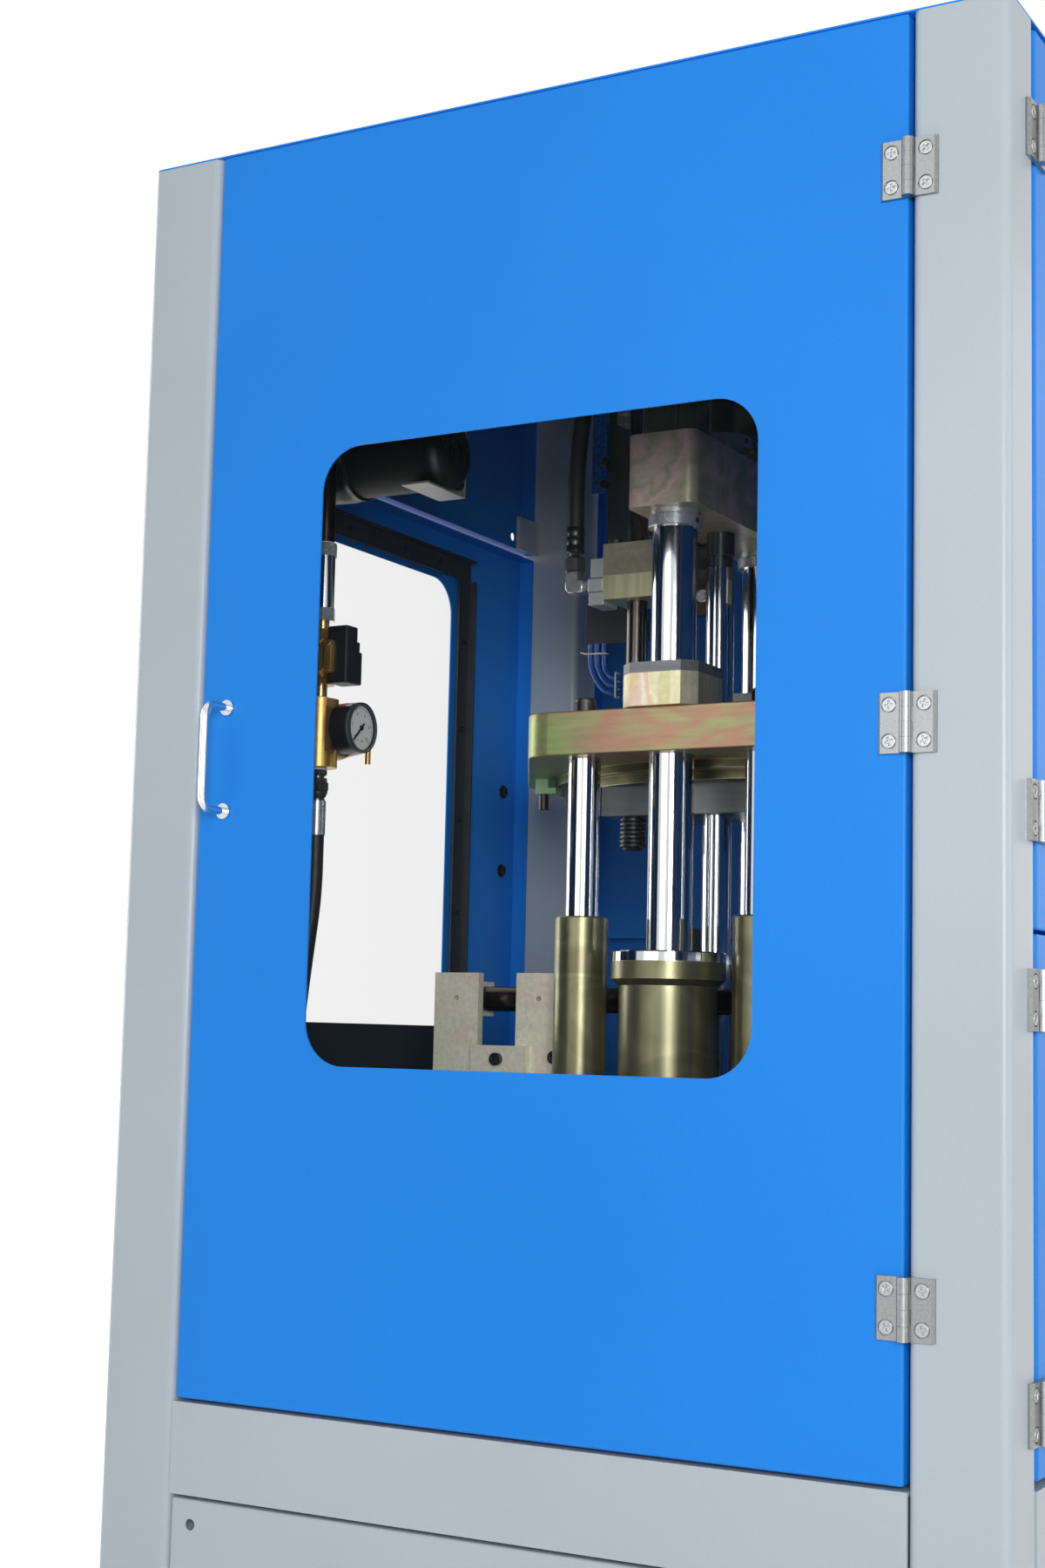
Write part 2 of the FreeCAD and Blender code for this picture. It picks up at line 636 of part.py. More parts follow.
# ---------------------------------------------------------------- hinges
def leaf(name, side):
    """One hinge leaf about its pin: side -1 for the door's, 1 for the
    post's. Each leaf holds two of the four knuckles, in turn."""
    owner = body(name)
    sign = "-" if side < 0 else ""
    profile = sketch(owner, "XY_Plane", "-hinge_half")
    front = "hinge_lift-leaf_thickness"
    corners = [("0", front), ("hinge_half-leaf_bevel", front),
               ("hinge_half", f"{front}+leaf_bevel"),
               ("hinge_half", "hinge_lift"), ("0", "hinge_lift")]
    polygon(profile, [(f"{sign}({x})", y) for x, y in corners])
    pad(owner, profile, "2*hinge_half")
    own = ("0", "-hinge_half") if side > 0 else ("hinge_half/2",
                                                 "-hinge_half/2")
    other = ("hinge_half/2", "-hinge_half/2") if side > 0 else (
        "0", "-hinge_half")
    for low in other:
        band = sketch(owner, "XY_Plane", f"{low}-knuckle_slit/2")
        circle(band, "0", "0", "knuckle_radius+knuckle_play")
        pocket(owner, band, "hinge_half/2+knuckle_slit", True)
    for low in own:
        band = sketch(owner, "XY_Plane", f"{low}+knuckle_slit/2")
        circle(band, "0", "0", "knuckle_radius")
        pad(owner, band, "hinge_half/2-knuckle_slit")
    bore = sketch(owner, "XY_Plane", "-hinge_half-1")
    circle(bore, "0", "0", "pin_radius+running_gap")
    pocket(owner, bore, reverse=True)
    for radius, depth in (("leaf_sink_radius", "leaf_sink_depth"),
                          ("leaf_hole_radius", None)):
        holes = sketch(owner, "XZ_Plane", f"-({front})")
        for z in ("-leaf_hole_pitch/2", "leaf_hole_pitch/2"):
            circle(holes, f"{sign}leaf_hole_pitch/2", z, radius)
        pocket(owner, holes, depth)
    return owner


def hinge_places():
    """Pin places: (door, x, y, z, turn about Z)."""
    places = []
    pin = "(door_width/2+door_gap/2)"
    out = f"-{HALF_DEPTH}-hinge_lift"
    for z in ("door_height-hinge_end_inset", "door_height/2",
              "hinge_end_inset"):
        places.append(("front_door", pin, out, f"door_sill+{z}", 0))
    side_pin = f"({POST_IN_Y}-door_gap/2)"
    left = f"-{HALF_WIDTH}-hinge_lift"
    for z in (f"{LEFT_HEIGHT}-side_hinge_inset", f"{LEFT_HEIGHT}/2",
              "side_hinge_inset"):
        places.append(("left_door", left, f"-{side_pin}",
                       f"door_sill+{z}", -90))
    right = f"{HALF_WIDTH}+hinge_lift"
    upper_end = f"{TOP}-door_gap"
    for z in (f"{upper_end}-side_hinge_inset",
              f"{RIGHT_UPPER_SILL}+side_hinge_inset"):
        places.append(("right_upper_door", right, f"-{side_pin}", z, 90))
    for z in (f"{RIGHT_SILL}+right_lower_height-lower_hinge_inset",
              f"{RIGHT_SILL}+lower_hinge_inset"):
        places.append(("right_lower_door", right, f"-{side_pin}", z, 90))
    return places


def hinges():
    """Leaves on every door and post, with a pin through each pair.

    A right-hand hinge is the same hinge turned upside down, so that its
    door leaf lies on the other side of the pin."""
    door_leaf, post_leaf = leaf("DoorLeaf", -1), leaf("PostLeaf", 1)
    pin = turned("Pin", [
        ("0", "-hinge_half"), ("pin_radius", "-hinge_half"),
        ("pin_radius", "hinge_half"), ("0", "hinge_half")])
    on_doors, on_posts, pins = {}, [], []
    for door, x, y, z, turn in hinge_places():
        flip = FreeCAD.Rotation(V(0, 1, 0), 180 if turn == 90 else 0)
        turned_to = FreeCAD.Rotation(V(0, 0, 1), turn).multiply(flip)
        pieces = []
        for master in (door_leaf, post_leaf, pin):
            twin = copy_at(master, x, y, z)
            twin.Placement = FreeCAD.Placement(V(), turned_to)
            pieces.append(twin)
        on_doors.setdefault(door, []).append(pieces[0])
        on_posts.append(pieces[1])
        pins.append(pieces[2])
    group("frame_hinge_leaves", on_posts)
    group("hinge_pins", pins)
    return on_doors


def handle_piece():
    """A bent round bar with a cup at each foot; it stands out along -Y."""
    owner = body("Handle")
    spine = sketch(owner, "YZ_Plane")
    half, reach, bend = (value(t) for t in (
        "handle_centres/2", "handle_reach", "handle_bend"))
    foot = spine.addGeometry(Part.LineSegment(
        V(0, -half, 0), V(-reach + bend, -half, 0)))
    low = spine.addGeometry(Part.ArcOfCircle(
        Part.Circle(V(-reach + bend, -half + bend, 0), V(0, 0, 1), bend),
        math.pi, 1.5 * math.pi))
    grip = spine.addGeometry(Part.LineSegment(
        V(-reach, -half + bend, 0), V(-reach, half - bend, 0)))
    high = spine.addGeometry(Part.ArcOfCircle(
        Part.Circle(V(-reach + bend, half - bend, 0), V(0, 0, 1), bend),
        0.5 * math.pi, math.pi))
    top = spine.addGeometry(Part.LineSegment(
        V(-reach + bend, half, 0), V(0, half, 0)))
    for spec in (("Tangent", foot, 2, low, 2), ("Tangent", low, 1, grip, 1),
                 ("Tangent", grip, 2, high, 2), ("Tangent", high, 1, top, 1),
                 ("Horizontal", foot), ("Horizontal", top),
                 ("Vertical", grip), ("Equal", low, high),
                 ("PointOnObject", foot, 1, -2),
                 ("PointOnObject", top, 2, -2)):
        spine.addConstraint(Sketcher.Constraint(*spec))
    fix(spine, "Radius", low, "handle_bend")
    fix(spine, "DistanceY", -1, 1, foot, 1, "-handle_centres/2")
    fix(spine, "DistanceY", -1, 1, top, 2, "handle_centres/2")
    fix(spine, "DistanceX", -1, 1, grip, 1, "-handle_reach")
    section = sketch(owner, "XZ_Plane")
    circle(section, "0", "-handle_centres/2", "handle_rod_radius")
    doc.recompute()
    bar = owner.newObject("PartDesign::AdditivePipe", "Bar")
    bar.Profile = section
    bar.Spine = (spine, [f"Edge{i}" for i in range(1, 6)])
    doc.recompute()
    cups = sketch(owner, "XZ_Plane")
    for z in ("-handle_centres/2", "handle_centres/2"):
        circle(cups, "0", z, "handle_cup_radius")
    pad(owner, cups, "handle_cup_height")
    return owner


def pane(label, width, side):
    """A clear pane behind the door's skin."""
    x, y, turn = side
    owner = body(label.title().replace("_", ""))
    drawn = sketch(owner, "XZ_Plane", "-skin")
    rounded(drawn, "0", "window_bottom+window_height/2",
            f"{width}+2*pane_lap", "window_height+2*pane_lap",
            "window_corner")
    pad(owner, drawn, "pane_thickness", True)
    node(place(owner, x, y, "door_sill", turn), label)


def angle_strip(length):
    """An angle strip along X, its flat leg on the pane."""
    owner = body("Strip")
    drawn = sketch(owner, "YZ_Plane")
    polygon(drawn, [
        ("0", "0"), ("trim_sheet", "0"), ("trim_sheet",
                                          "trim_width-trim_sheet"),
        ("trim_leg", "trim_width-trim_sheet"), ("trim_leg", "trim_width"),
        ("0", "trim_width")])
    pad(owner, drawn, length)
    return owner


def trim(label, width, side, guard=False):
    """Four angle strips that hold a pane by its edges."""
    x, y, turn = side
    deep = "skin+pane_thickness"
    beyond = "(trim_reveal+trim_width)"
    span = f"({width}+2*{beyond})"
    rise = "(window_height+2*trim_reveal-2*corner_gap)"
    low = f"window_bottom-{beyond}"
    high = f"window_bottom+window_height+{beyond}"
    level, upright = angle_strip(span), angle_strip(rise)
    face = V(0, 1, 0)
    spots = [(level, f"-{span}/2", f"{high}-trim_width", 0),
             (level, f"{span}/2", f"{low}+trim_width", 180),
             (upright, f"-{span}/2+trim_width",
              f"{low}+trim_width+corner_gap", -90),
             (upright, f"{span}/2-trim_width",
              f"{high}-trim_width-corner_gap", 90)]
    pieces = [copy_at(master, px, deep, pz, spin, face)
              for master, px, pz, spin in spots]
    if guard:
        pieces.append(box(
            f"-{span}/2+2", f"{deep}+trim_leg", "window_bottom-guard_drop",
            f"{span}-4", "trim_sheet", "guard_height"))
    bundle = group(label, pieces)
    place(bundle, x, y, "door_sill", turn)


def door_set(label, width, height, sill, side, leaves, parts, hand=1,
             window=None, handle_at="handle_height"):
    """A folded door with its handle and its hinge leaves."""
    x, y, turn = side
    door = tray(label.title().replace("_", ""), width, height, window)
    node(place(door, x, y, sill, turn), label)
    inset = f"(({width})/2-handle_inset)"
    across = f"-{inset}" if hand > 0 else inset
    if turn == 0:
        spot = (across, y)
    elif turn == -90:
        spot = (x, f"-({across})")
    else:
        spot = (x, across)
    grip = copy_at(parts, *spot, f"{sill}+{handle_at}", turn)
    return grip, leaves[label]


def doors():
    grips = handle_piece()
    leaves = hinges()
    front = ("0", f"-{HALF_DEPTH}", 0)
    left = (f"-{HALF_WIDTH}", "0", -90)
    right = (HALF_WIDTH, "0", 90)
    grip, own = door_set("front_door", "door_width", "door_height",
                         "door_sill", front, leaves, grips,
                         window="window_width")
    node(grip, "front_door_handle")
    group("front_door_leaves", own)
    pane("front_window", "window_width", front)
    trim("front_window_trim", "window_width", front)
    grip, own = door_set("left_door", SIDE_WIDTH, LEFT_HEIGHT,
                         "door_sill", left, leaves, grips,
                         window="side_window_width")
    node(grip, "left_door_handle")
    group("left_door_leaves", own)
    pane("left_window", "side_window_width", left)
    trim("left_window_trim", "side_window_width", left, guard=True)
    upper = f"({TOP}-door_gap-{RIGHT_UPPER_SILL})"
    for label, height, sill in (
            ("right_upper_door", upper, RIGHT_UPPER_SILL),
            ("right_lower_door", "right_lower_height", RIGHT_SILL)):
        grip, own = door_set(label, SIDE_WIDTH, height, sill, right, leaves,
                             grips, hand=-1, handle_at=f"({height})/2")
        group(label.replace("door", "fittings"), [grip] + own)


# ------------------------------------------------------------- the press
CORNERS = [(f"{a}column_x", f"{b}column_y") for a in ("-", "")
           for b in ("-", "")]
ENDS = [("0", "-column_y"), ("0", "column_y")]
SIDE_RODS = [("-side_rod_x", "0"), ("side_rod_x", "0")]


def bores(spots, radius):
    return [(x, y, radius) for x, y in spots]


def at_all(master, spots, z="0"):
    return [copy_at(master, x, y, z) for x, y in spots]


def press_frame():
    """Bed, head plate, sleeves, cylinders, beam, barrels and fixed rods."""
    bed = plate("Bed", BED_WIDTH, BED_DEPTH, "bed_thickness")
    node(place(bed, "0", "0", MID_TOP), "bed_plate")
    head = plate("Head", HEAD_WIDTH, "head_depth", "head_thickness")
    group("head_plate", [place(head, "0", "0", HEAD_BOTTOM), tube_hanger()])
    sleeve_rise = f"(door_sill+sleeve_top-{BED_TOP})"
    sleeve = turned("Sleeve", [
        ("column_radius+running_gap", "0"), ("sleeve_radius", "0"),
        ("sleeve_radius", f"{sleeve_rise}-2"),
        ("sleeve_radius-2", sleeve_rise),
        ("column_radius+running_gap", sleeve_rise)])
    group("column_sleeves", at_all(sleeve, CORNERS, BED_TOP))
    rise = f"({CYL_TOP}-{BED_TOP})"
    cylinder = turned("Cylinder", [
        ("0", "0"), ("cylinder_radius", "0"),
        ("cylinder_radius", f"{rise}-8"), ("cylinder_flange_radius", rise),
        ("cylinder_flange_radius", f"{rise}+cylinder_flange"),
        ("cylinder_bore", f"{rise}+cylinder_flange"),
        ("cylinder_bore", "cylinder_floor"), ("0", "cylinder_floor")])
    group("clamp_cylinders", at_all(cylinder, ENDS, BED_TOP))
    gland = turned("Gland", [
        ("rod_radius+running_gap", "0"), ("cylinder_flange_radius", "0"),
        ("cylinder_flange_radius", "gland_height-1.5"),
        ("cylinder_flange_radius-1.5", "gland_height"),
        ("rod_radius+running_gap", "gland_height")])
    guide_rise = f"(door_sill+guide_top-{BED_TOP})"
    guide = turned("Guide", [
        ("centre_radius+running_gap", "0"), ("guide_radius", "0"),
        ("guide_radius", f"{guide_rise}-guide_ring"),
        ("guide_ring_radius", f"{guide_rise}-guide_ring"),
        ("guide_ring_radius", guide_rise),
        ("centre_radius+running_gap", guide_rise)])
    group("cylinder_glands",
          at_all(gland, ENDS, f"{CYL_TOP}+cylinder_flange")
          + [place(guide, "0", "0", BED_TOP)])
    beam = plate("Beam", "beam_width", "beam_depth", "beam_height",
                 "beam_corner", bores(ENDS, "rod_radius+running_gap")
                 + [("0", "0", "centre_radius+running_gap")])
    stop = box("-stop_left", "stop_front", f"{BEAM_BOTTOM}-stop_height",
               "stop_width", "stop_depth", "stop_height")
    group("top_beam", [place(beam, "0", "0", BEAM_BOTTOM), stop])
    reach = f"({HEAD_BOTTOM}-{BEAM_TOP})"
    barrel = turned("Barrel", [
        ("barrel_bore", "0"), ("barrel_radius", "0"),
        ("barrel_radius", reach), ("barrel_bore", reach)])
    group("upper_barrels", at_all(barrel, ENDS, BEAM_TOP))
    full = f"({HEAD_BOTTOM}-{BED_TOP})"
    groove = f"(door_sill+collar_bottom-{BED_TOP})"
    column = turned("Centre", [
        ("0", "0"), ("centre_radius", "0"), ("centre_radius", groove),
        ("centre_radius-collar_depth", groove),
        ("centre_radius-collar_depth", f"{groove}+collar_height"),
        ("centre_radius", f"{groove}+collar_height"),
        ("centre_radius", full), ("0", full)])
    node(place(column, "0", "0", BED_TOP), "centre_column")


def manifolds():
    """Two halves round each side rod, held from the beam by an arm."""
    halves = []
    low = "door_sill+manifold_bottom"
    for x, _ in SIDE_RODS:
        for z, height in ((low, "manifold_split"),
                          (f"{low}+manifold_split", "manifold_top")):
            block = box(f"{x}-manifold_width/2",
                        "manifold_back-manifold_depth/2", z,
                        "manifold_width", "manifold_depth", height)
            halves.append(cut(block, rod(
                x, "0", f"{z}-1", "side_rod_radius+running_gap",
                f"{height}+2")))
    top = f"({low}+manifold_split+manifold_top)"
    length = "side_rod_x+arm_lap-beam_width/2"
    arms = [box(x, "arm_front", top, length, "arm_depth", "arm_height")
            for x in ("-side_rod_x-arm_lap", "beam_width/2")]
    group("manifold_blocks", halves + arms)


def clamp_hose():
    """Port block, elbow, nut and crimped ferrule, then the hose itself."""
    left = f"-{MANIFOLD_LEFT}-port_block_width"
    y = "(manifold_back-port_shift)"
    port = box(left, f"{y}-port_block_depth/2",
               "door_sill+elbow_height-port_block_height/2",
               "port_block_width", "port_block_depth", "port_block_height")
    axis_x = f"({left}-elbow_reach)"
    z = "(door_sill+elbow_height)"
    level = rod(axis_x, y, z, "elbow_radius", "elbow_reach", "X")
    bend = doc.addObject("Part::Sphere", "Bend")
    bind(bend, Radius="elbow_radius")
    place(bend, axis_x, y, z)
    upright = rod(axis_x, y, z, "elbow_radius", "elbow_radius+nut_height+8")
    nut = hexagon(axis_x, y, f"{z}+elbow_radius+3", "nut_radius",
                  "nut_height")
    ferrule_low = f"({z}+elbow_radius+nut_height+8)"
    ferrule = rod(axis_x, y, ferrule_low, "ferrule_radius", "ferrule_height")
    node(fuse(port, level, bend, upright, nut, ferrule), "hose_fitting")
    start = f"({ferrule_low}+ferrule_height)"
    rise = f"({HEAD_BOTTOM}-{start})"
    node(hose("ClampHose", "hose_radius", [
        (axis_x, y, start), (axis_x, y, f"{start}+0.3*{rise}"),
        (f"{axis_x}+9", f"{y}+4", f"{start}+0.7*{rise}"),
        (f"{axis_x}+9", f"{y}+4", HEAD_BOTTOM)]), "clamp_hose")


def platen_body():
    """Everything that rides up and down on the clamp rods."""
    running = "running_gap"
    platen = body("Platen")
    drawn = sketch(platen)
    back = "platen_depth/2"
    shoulder = f"{back}-platen_shoulder"
    polygon(drawn, [
        ("-platen_front/2", f"-{back}"), ("platen_front/2", f"-{back}"),
        ("platen_width/2", shoulder), ("platen_width/2", back),
        ("-platen_width/2", back), ("-platen_width/2", shoulder)])
    pad(platen, drawn, "platen_thickness")
    soften(platen, "platen_corner", lambda edge: upright(edge)
           and edge.Vertexes[0].Point.y < 0)
    soften(platen, "platen_rear_corner", lambda edge: upright(edge)
           and edge.Vertexes[0].Point.y > 0)
    holes = sketch(platen, "XY_Plane", "platen_thickness")
    for x, y, radius in (bores(ENDS, f"rod_radius+{running}")
                         + [("0", "0", f"centre_radius+{running}")]
                         + bores(SIDE_RODS, f"side_rod_radius+{running}")):
        circle(holes, x, y, radius)
    pocket(platen, holes)
    soften(platen, "2", lambda edge: len(edge.Vertexes) == 2
           and abs(edge.Vertexes[0].Point.z - edge.Vertexes[1].Point.z)
           < 1e-6)
    node(place(platen, "0", "0", PLATEN_BOTTOM), "moving_platen")
    group("platen_columns", [
        rod(x, y, f"{PLATEN_BOTTOM}-column_length", "column_radius",
            "column_length") for x, y in CORNERS])
    foot, head = "-rod_drop", "rod_rise"
    ram = turned("Ram", [
        ("0", foot), ("cylinder_bore-running_gap", foot),
        ("cylinder_bore-running_gap", f"{foot}+piston_height"),
        ("rod_radius", f"{foot}+piston_height"), ("rod_radius", head),
        ("0", head)])
    group("clamp_rods", at_all(ram, ENDS, PLATEN_TOP))
    half, cant = "clamp_block/2", "clamp_block_chamfer"
    outline = [(f"-{half}+{cant}", f"-{half}"), (f"{half}-{cant}",
                                                 f"-{half}"),
               (half, f"-{half}+{cant}"), (half, f"{half}-{cant}"),
               (f"{half}-{cant}", half), (f"-{half}+{cant}", half),
               (f"-{half}", f"{half}-{cant}"), (f"-{half}",
                                                f"-{half}+{cant}")]
    for label, z, height in (
            ("rod_clamp_blocks", PLATEN_TOP, "clamp_block_height"),
            ("rod_clamp_plates", BLOCK_TOP, "clamp_plate_height")):
        owner = body(label.title().replace("_", ""))
        drawn = sketch(owner)
        polygon(drawn, outline)
        circle(drawn, "0", "0", f"rod_radius+{running}")
        pad(owner, drawn, height)
        group(label, at_all(owner, ENDS, z))
    cap = "side_rod_drop-disc_thickness-mould_block_height"
    side = turned("SideRod", [
        ("0", "0"), ("side_cap_radius", "0"), ("side_cap_radius", cap),
        ("side_rod_radius", cap), ("side_rod_radius", "side_rod_length"),
        ("0", "side_rod_length")])
    group("side_rods", at_all(side, SIDE_RODS,
                              f"{PLATEN_BOTTOM}-side_rod_drop"))
    through = (bores(SIDE_RODS, f"side_rod_radius+{running}")
               + [("0", "0", "centre_radius+disc_gap")])
    disc_low = f"({PLATEN_BOTTOM}-disc_thickness)"
    tiers = fuse(
        rod("0", "disc_centre", disc_low, "disc_radius-disc_step",
            "disc_tier"),
        rod("0", "disc_centre", f"{disc_low}+disc_tier", "disc_radius",
            "disc_thickness-disc_tier"))
    behind = box("-disc_radius-1", "disc_back", f"{disc_low}-1",
                 "2*disc_radius+2", "disc_centre+disc_radius-disc_back+1",
                 "disc_thickness+2")
    node(cut(tiers, behind, *[
        rod(x, y, f"{disc_low}-1", radius, "disc_thickness+2")
        for x, y, radius in through + [
            ("-column_x", "column_y", "column_radius+disc_gap"),
            ("column_x", "column_y", "column_radius+disc_gap"),
            ("0", "column_y", "rod_radius+disc_gap")]]), "mould_disc")
    mould_low = f"({disc_low}-mould_block_height)"
    mould = box("-mould_block_width/2", "-mould_block_front", mould_low,
                "mould_block_width", "mould_block_depth",
                "mould_block_height")
    node(cut(mould, *[
        rod(x, y, f"{mould_low}-1", radius, "mould_block_height+2")
        for x, y, radius in through]), "mould_block")
    socket = "screw_head_radius*0.45"
    screw = turned("CapScrew", [
        ("0", "0"), ("screw_head_radius", "0"),
        ("screw_head_radius", "screw_head_height-1.5"),
        ("screw_head_radius-1.5", "screw_head_height"),
        (socket, "screw_head_height"), (socket, "screw_head_height*0.5"),
        ("0", "screw_head_height*0.5")])
    group("platen_screws", at_all(screw, CORNERS, PLATEN_TOP))
    case = box("-sensor_left", "sensor_front",
               f"{PLATEN_BOTTOM}-sensor_height", "sensor_width",
               "sensor_depth", "sensor_height")
    leg = box("-sensor_left+sensor_width", "sensor_front",
              f"{PLATEN_BOTTOM}-sensor_height", "sensor_leg",
              "sensor_depth", "sensor_leg_height")
    gland = rod("-sensor_left+sensor_gland_inset",
                "sensor_front+sensor_depth/2",
                f"{PLATEN_BOTTOM}-sensor_height-sensor_gland_length",
                "sensor_gland_radius", "sensor_gland_length")
    node(fuse(case, leg, gland), "position_sensor")


def cross_shaft():
    """A polished shaft on four drilled plates that stand on the bed."""
    z = "(door_sill+shaft_z)"
    node(rod("-shaft_half", "-shaft_y", z, "shaft_radius", "2*shaft_half",
             "X"), "guide_shaft")
    front = "-support_front"
    back = f"({front}+support_thickness)"
    pieces = []
    for x in ("-outer_support_x", "-inner_support_x", "inner_support_x",
              "outer_support_x"):
        upright = box(f"{x}-support_width/2", front, BED_TOP,
                      "support_width", "support_thickness",
                      f"door_sill+support_top-{BED_TOP}")
        boss = box(f"{x}-boss_width/2", back, f"{z}-boss_height/2",
                   "boss_width", f"-shaft_y+shaft_radius+6-{back}",
                   "boss_height")
        whole = fuse(upright, boss)
        pieces.append(cut(
            whole,
            rod(f"{x}-boss_width", "-shaft_y", z,
                "shaft_radius+running_gap", "2*boss_width", "X"),
            rod(x, f"{front}-1", z, "support_hole_radius",
                "support_thickness+2", "Y")))
    for x in ("-bridge_x", "bridge_x"):
        pieces.append(box(f"{x}-bridge_width/2", f"{front}-support_thickness",
                          BED_TOP, "bridge_width", "support_thickness",
                          f"door_sill+bridge_top-{BED_TOP}"))
    for x in ("-cleat_x-cleat_width", "cleat_x"):
        pieces.append(box(x, f"{front}-support_thickness", BED_TOP,
                          "cleat_width", "support_thickness",
                          f"door_sill+cleat_top-{BED_TOP}"))
    group("shaft_supports", pieces)


# ----------------------------------------------- air line and silencer
def silencer():
    """A rounded drum on a folded shelf that hangs from the head plate."""
    drum = turned("Drum", [
        ("0", "0"), ("drum_radius-drum_round", "0"),
        ("drum_radius", "drum_round"),
        ("drum_radius", "drum_length-drum_round"),
        ("drum_radius-drum_round", "drum_length"),
        ("drum_plug_radius", "drum_length"),
        ("drum_plug_radius", "drum_length+drum_plug_height"),
        ("0", "drum_length+drum_plug_height")])
    z = "(door_sill+drum_z)"
    node(place(drum, "-drum_left", "-drum_y", z, 90, V(0, 1, 0)),
         "silencer_drum")
    right = "(-drum_left+drum_length-shelf_inset)"
    low = f"({z}-drum_radius-seat_gap-shelf_sheet)"
    rear = "(-drum_y+drum_radius+seat_gap)"
    shelf = box(f"{right}-shelf_width", f"{rear}-drum_radius-shelf_lap",
                low, "shelf_width", "drum_radius+shelf_lap", "shelf_sheet")
    hanger = box(f"{right}-shelf_width", rear, low, "shelf_width",
                 "shelf_sheet", f"{HEAD_BOTTOM}-{low}")
    node(fuse(shelf, hanger), "silencer_bracket")


def air_line():
    """Pipe, tube, valve, regulator with gauge, and the supply hose."""
    x, y = "-air_x", "-air_y"
    pieces = [
        rod(x, y, AIR_TUBE_TOP, "air_pipe_radius",
            f"{HEAD_BOTTOM}-{AIR_TUBE_TOP}"),
        rod(x, y, AIR_TUBE_LOW, "air_tube_radius", "air_tube_length"),
        hexagon(x, y, f"{AIR_TUBE_TOP}-tube_hex_height", "tube_hex_radius",
                "tube_hex_height"),
        hexagon(x, y, AIR_TUBE_LOW, "tube_hex_radius", "tube_hex_height")]
    necks = [rod(x, y, low, "nipple_radius", length)
             for low, length in ((VALVE_TOP, "tube_neck"),
                                 (REGULATOR_TOP, "valve_neck"),
                                 (FERRULE_TOP, "hose_neck"))]
    collar = hexagon(x, y, f"{FERRULE_TOP}+14", "nipple_radius+5", "14")
    start = f"({FERRULE_TOP}-air_ferrule_height)"
    ferrule = rod(x, y, start, "air_ferrule_radius", "air_ferrule_height")
    group("air_fittings", [fuse(*pieces), necks[0], necks[1],
                           fuse(necks[2], collar, ferrule)])
    solenoid(x, y)
    regulator(x, y)
    drop = f"({start}-{BED_TOP})"
    node(hose("AirHose", "air_hose_radius", [
        (x, y, start), (x, y, f"{start}-0.12*{drop}"),
        (f"{x}-0.45*air_hose_lean", y, f"{start}-0.32*{drop}"),
        (f"{x}-0.85*air_hose_lean", y, f"{start}-0.55*{drop}"),
        (f"{x}-air_hose_lean", y, f"{start}-0.78*{drop}"),
        (f"{x}-air_hose_lean", y, BED_TOP)]), "air_hose")


def solenoid(x, y):
    """Valve body between two hexagons, a round bonnet and its coil."""
    middle = f"({VALVE_LOW}+valve_height/2)"
    trunk = rod(x, y, VALVE_LOW, "valve_radius", "valve_height")
    bonnet = rod(x, y, middle, "bonnet_radius", "bonnet_reach", "X")
    ends = [hexagon(x, y, z, "valve_hex_radius", "valve_hex_height")
            for z in (VALVE_LOW, f"{VALVE_TOP}-valve_hex_height")]
    node(fuse(trunk, bonnet, *ends), "solenoid_valve")
    corner = (f"{x}+bonnet_reach", f"{y}-coil_depth/2",
              f"{middle}-coil_height/2")
    node(fuse(box(*corner, "coil_width", "coil_depth", "coil_height"),
              box(*corner, "coil_width+coil_step", "coil_depth",
                  "coil_height*0.55")), "solenoid_coil")


def regulator(x, y):
    """Brass body with a spring dome, tee screw, and a dial gauge."""
    trunk = rod(x, y, REGULATOR_LOW, "regulator_radius",
                "regulator_height")
    axis = f"({REGULATOR_LOW}+gauge_rise)"
    flat = "regulator_radius+2*dome_flange"
    socket = "spindle_radius+running_gap"
    dome = turned("Dome", [
        ("0", "0"), ("dome_radius", "0"), ("dome_radius", flat),
        ("dome_tip_radius+5", "bonnet_length*0.8"),
        ("dome_tip_radius", "bonnet_length"), (socket, "bonnet_length"),
        (socket, "bonnet_length-spindle_seat"),
        ("0", "bonnet_length-spindle_seat")])
    place(dome, x, f"{y}-dome_flange", axis, -90, V(1, 0, 0))
    stem_end = "(-gauge_front-gauge_depth)"
    stem = rod(x, y, axis, "gauge_stem_radius", f"{stem_end}-({x})", "X")
    tip = f"({y}-dome_flange+bonnet_length)"
    node(fuse(trunk, dome, stem, refine=False), "pressure_regulator")
    spindle = rod(x, f"{tip}-spindle_seat+seat_gap", axis,
                  "spindle_radius", "spindle_seat+spindle_reach", "Y")
    bar = rod(x, f"{tip}+spindle_reach-tee_radius-1",
              f"{axis}-tee_length/2", "tee_radius", "tee_length")
    node(fuse(spindle, bar), "regulator_handle")
    case = rod(stem_end, y, axis, "gauge_radius", "gauge_depth", "X")
    well = rod("-gauge_front-gauge_recess", y, axis,
               "gauge_radius-gauge_rim", "gauge_recess+1", "X")
    face = "(-gauge_front-gauge_recess)"
    arbor = rod(f"{face}-1", y, axis, "arbor_radius", "1+arbor_length", "X")
    node(fuse(cut(case, well), arbor), "gauge_case")
    needle(face, y, axis)


def needle(x, y, z):
    """A thin pointer on the dial's arbor, resting at the zero mark."""
    blade = box("needle_lift", "-needle_width/2", "-needle_tail",
                "needle_sheet", "needle_width", "needle_tail+needle_length")
    hub = rod("needle_lift-0.5", "0", "0", "arbor_radius+1.6",
              "needle_sheet+1", "X")
    eye = rod("0", "0", "0", "arbor_radius+running_gap",
              "needle_lift+needle_sheet+2", "X")
    pointer = cut(fuse(blade, hub), eye)
    node(place(pointer, x, y, z, 135, V(1, 0, 0)), "gauge_needle")


